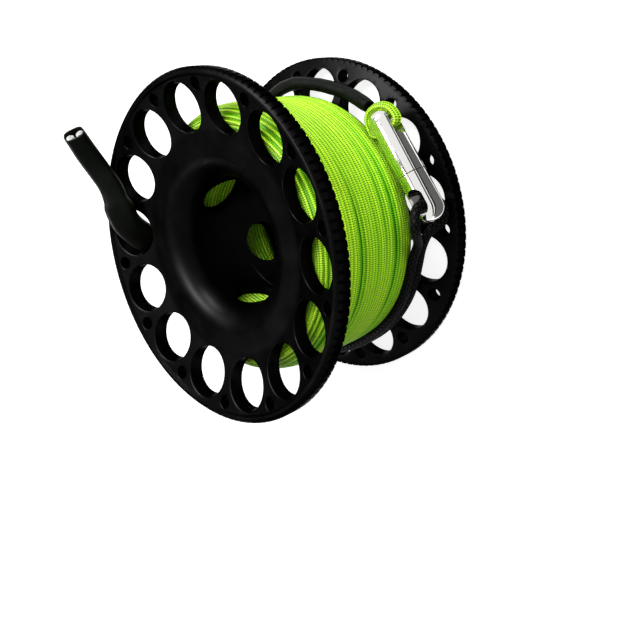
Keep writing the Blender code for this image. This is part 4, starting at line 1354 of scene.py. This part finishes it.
class BuildElasticCord(bpy.types.Operator):
    """Lay the doubled elastic cord from the swivel round the line and out through the front flange"""
    bl_idname = "finger_spool.elastic_cord"
    bl_label = "Elastic cord"

    def execute(self, context):
        points = smooth_points(cord_points(), 0.7 * MM)
        cover = tube_mesh("elastic_cover", points, carried_ups(points), CORD_DIAMETER / 2, 20)
        show(add_object("elastic_cover", cover, braided_elastic), "spool", "black_cord", "elastic_cord")
        cores = []
        for tip, inner in ((points[0], points[2]), (points[-1], points[-3])):
            outwards = (tip - inner).normalized()
            route = [tip + outwards * distance for distance, _ in RUBBER_TIP]
            radii = [radius for _, radius in RUBBER_TIP]
            cores.append(tube_mesh("core", route, carried_ups(route), radii, 20))
        cores = join_meshes("rubber_cores", cores)
        show(add_object("rubber_cores", cores, rubber_core), "spool", "black_cord")
        return {"FINISHED"}


class BuildCordSleeve(bpy.types.Operator):
    """Shrink the sleeve over the two ends of the elastic cord"""
    bl_idname = "finger_spool.cord_sleeve"
    bl_label = "Sleeve on the cord's ends"

    def execute(self, context):
        stick = stick_points()
        half_width = (2 * CORD_DIAMETER + CLEARANCE) / 2 + CORD_SLEEVE_ROOM + CORD_SLEEVE_WALL
        half_height = CORD_DIAMETER / 2 + CORD_SLEEVE_ROOM + CORD_SLEEVE_WALL
        straight = half_width - half_height

        def outline(part, inset):
            # Wide where it leaves the flange, then a ridge, then drawn down towards the free end
            wide = 1 / (1 + math.exp((part - CORD_SLEEVE_RIDGE) / 0.012))
            ridge = math.exp(-((part - CORD_SLEEVE_RIDGE - 0.01) / 0.022) ** 2)
            swell = 0.94 - 0.13 * part + 0.20 * wide + 0.08 * ridge + 0.012 * math.sin(part * 17.0 + 0.6)
            lip = 1 - turned_in(part, 0.05, 0.03) - turned_in(1 - part, 0.04, 0.02)
            reach = (half_height - inset) * swell * lip
            row = []
            for angle in even_angles(36):
                # Flat along both sides, with a shallow waist between the two strands
                shift = straight * swell * max(-1.0, min(1.0, 1.6 * math.cos(angle)))
                waist = 1 - 0.07 * math.exp(-(math.cos(angle) / 0.35) ** 2)
                row.append((shift + reach * math.cos(angle), reach * waist * math.sin(angle)))
            return row

        tube = swept_sleeve("cord_sleeve_shrunk", stick, cord_sides(stick), outline, CORD_SLEEVE_WALL,
                            slant=0.5)
        show(tube, "spool", "black_sleeve", "cord_sleeve")
        return {"FINISHED"}


# ---------------------------------------------------------------- stage

# The camera's axes and place, its film width and lens in mm, and the lens's shift in widths of the film
CAMERA_RIGHT = Vector((0.7269, -0.2330, -0.6460))
CAMERA_UP = Vector((0.1645, 0.9724, -0.1656))
CAMERA_BACK = Vector((0.6667, 0.0141, 0.7452))
CAMERA_PLACE = Vector((0.1498, 0.0061, 0.1496))
SENSOR_WIDTH = 36.0
LENS = 45.75
LENS_SHIFT = (-0.09716, -0.2027)
# Strength of the floor's white where it is seen, and of the surroundings where they light the object
FLOOR_WHITE = 0.86
SURROUNDINGS_LIGHT = 0.3
# Cards beside the swivel, along Y: distance of their inner and outer edge from the axis, half their length,
# height of the lowest over the floor, and how bright they are
CARD_NEAR = 41.5 * MM
CARD_SIDE = 62.0 * MM
CARD_REACH = 80.0 * MM
CARD_LIFT = 0.4 * MM
GREY_CARD = 0.14
DARK_CARD = 0.01


def seen_as_background(tree):
    """1 for the camera, for reflections and through glass, and 0 for the light that falls on the object."""
    paths = add_node(tree, "ShaderNodeLightPath").outputs
    seen = add_node(tree, "ShaderNodeMath", [(0, paths["Is Camera Ray"]), (1, paths["Is Glossy Ray"])],
                    operation="ADD")
    seen = add_node(tree, "ShaderNodeMath", [(0, seen), (1, paths["Is Transmission Ray"])], operation="ADD")
    return add_node(tree, "ShaderNodeMath", [(0, seen), (1, 1.0)], operation="MINIMUM")


def soft_light(name, direction, distance, size, power, gloss):
    """An area light that faces the middle of the spool, for glossy surfaces alone or for all others."""
    centre = Vector((0.0, 0.0, HALF_WIDTH))
    place = centre + Vector(direction).normalized() * distance
    data = bpy.data.lights.new(name, "AREA")
    data.shape = "RECTANGLE"
    data.size, data.size_y = size
    data.energy = power
    lamp = bpy.data.objects.new(name, data)
    lamp.visible_glossy = gloss
    lamp.visible_diffuse = not gloss
    lamp.location = place
    lamp.rotation_euler = (place - centre).to_track_quat("Z", "Y").to_euler()
    bpy.context.collection.objects.link(lamp)


def card(name, lower, upper, grey):
    """A card that only reflections show, as polished metal needs beside it.

    Its two long edges are given by their distance from the axis and their height.
    """
    corners = [(x, y, z) for y, edges in ((-CARD_REACH, (lower, upper)), (CARD_REACH, (upper, lower)))
               for x, z in edges]
    mesh = bpy.data.meshes.new(name)
    mesh.from_pydata(corners, [], [(0, 1, 2, 3)])
    material, tree, shader = new_finish(name)
    set_inputs(tree, shader, [("Base Color", linear("#000000")), ("Specular IOR Level", 0.0),
                              ("Emission Color", linear("#FFFFFF")), ("Emission Strength", grey)])
    mesh.materials.append(material)
    sheet = bpy.data.objects.new(name, mesh)
    bpy.context.collection.objects.link(sheet)
    sheet.visible_camera = False
    sheet.visible_diffuse = False
    sheet.visible_shadow = False


def place_camera(scene):
    data = bpy.data.cameras.new("camera")
    data.sensor_width = SENSOR_WIDTH
    data.lens = LENS
    data.shift_x, data.shift_y = LENS_SHIFT
    camera = bpy.data.objects.new("camera", data)
    matrix = Matrix((CAMERA_RIGHT, CAMERA_UP, CAMERA_BACK)).transposed().to_4x4()
    matrix.translation = CAMERA_PLACE
    camera.matrix_world = matrix
    scene.collection.objects.link(camera)
    scene.camera = camera


def lay_floor(scene, size):
    """A plain pale floor that shows white and keeps the object's shadow."""
    half = size / 2
    mesh = bpy.data.meshes.new("floor")
    mesh.from_pydata([(-half, -half, 0.0), (half, -half, 0.0), (half, half, 0.0), (-half, half, 0.0)], [],
                     [(0, 1, 2, 3)])
    material, tree, shader = new_finish("plain white floor")
    glow = add_node(tree, "ShaderNodeMath", [(0, seen_as_background(tree)), (1, FLOOR_WHITE)],
                    operation="MULTIPLY")
    set_inputs(tree, shader, [("Base Color", linear("#C8C8C8")), ("Roughness", 0.9),
                              ("Specular IOR Level", 0.0), ("Emission Color", linear("#FFFFFF")),
                              ("Emission Strength", glow)])
    mesh.materials.append(material)
    floor = bpy.data.objects.new("floor", mesh)
    scene.collection.objects.link(floor)


def surround(scene):
    """White surroundings that light the object less than they show."""
    world = bpy.data.worlds.new("surroundings")
    world.use_nodes = True
    tree = world.node_tree
    tree.nodes.clear()
    strength = add_node(tree, "ShaderNodeMapRange", [("Value", seen_as_background(tree)),
                                                     ("To Min", SURROUNDINGS_LIGHT), ("To Max", 1.0)])
    background = add_node(tree, "ShaderNodeBackground",
                          [("Color", linear("#FFFFFF")), ("Strength", strength)])
    add_node(tree, "ShaderNodeOutputWorld", [("Surface", background)])
    scene.world = world


class BuildStage(bpy.types.Operator):
    """Set the camera, the plain pale floor, the soft lights and the white surroundings"""
    bl_idname = "finger_spool.stage"
    bl_label = "Stage"

    def execute(self, context):
        scene = context.scene
        stage = settings().stage
        place_camera(scene)
        scene.view_settings.view_transform = "Standard"
        lay_floor(scene, stage.floor_size)

        soft_light("key light", (0.04, 0.60, 0.80), 0.6, (0.5, 0.35), stage.key_power, False)
        soft_light("fill light", (0.85, 0.55, 0.10), 0.6, (0.4, 0.3), stage.fill_power, False)
        # Lights that only the glossy surfaces show: in the back flange, in the front's flare and on its face
        soft_light("flange sheen", (-0.22, 0.37, 0.90), 0.5, (0.10, 0.20), stage.sheen_power * 1.5, True)
        soft_light("flare sheen", (-0.03, 0.77, 0.64), 0.5, (0.20, 0.10), stage.sheen_power, True)
        soft_light("face sheen", (-0.80, -0.30, 0.52), 0.5, (0.10, 0.20), stage.sheen_power * 0.4, True)
        # Beside the swivel: a grey card on the floor and dark ones upright, with a slit between them
        card("grey card", (CARD_NEAR, CARD_LIFT), (CARD_SIDE, CARD_LIFT), GREY_CARD)
        for name, low, high, grey in (("grey card edge", CARD_LIFT, 12.0 * MM, GREY_CARD),
                                      ("dark card low", 12.0 * MM, 17.5 * MM, DARK_CARD),
                                      ("dark card high", 21.0 * MM, 27.0 * MM, DARK_CARD)):
            card(name, (CARD_SIDE, low), (CARD_SIDE, high), grey)

        surround(scene)
        return {"FINISHED"}


# ---------------------------------------------------------------- panel and run

class FingerSpoolPanel(bpy.types.Panel):
    """Lists the pieces of the finger spool"""
    bl_idname = "VIEW3D_PT_finger_spool"
    bl_label = "Finger Spool"
    bl_space_type = "VIEW_3D"
    bl_region_type = "UI"
    bl_category = "Finger Spool"

    def draw(self, context):
        layout = self.layout
        for operator in OPERATORS:
            layout.operator(operator.bl_idname)


OPERATORS = (BuildStage, BuildHalves, BuildWoundLine, BuildLead, BuildEndLoop, BuildSwivel, BuildElasticCord,
             BuildCordSleeve)
CLASSES = (SpoolSizes, LineSizes, CordSizes, FinishColours, StageSizes, FingerSpoolSettings, *OPERATORS,
           FingerSpoolPanel)


def register():
    for cls in CLASSES:
        bpy.utils.register_class(cls)
    bpy.types.Scene.finger_spool = PointerProperty(type=FingerSpoolSettings)


def unregister():
    del bpy.types.Scene.finger_spool
    for cls in reversed(CLASSES):
        bpy.utils.unregister_class(cls)


def main():
    register()
    bpy.ops.finger_spool.stage()
    bpy.ops.finger_spool.halves()
    bpy.ops.finger_spool.wound_line()
    bpy.ops.finger_spool.lead()
    bpy.ops.finger_spool.end_loop()
    bpy.ops.finger_spool.swivel()
    bpy.ops.finger_spool.elastic_cord()
    bpy.ops.finger_spool.cord_sleeve()


if __name__ == "__main__":
    main()
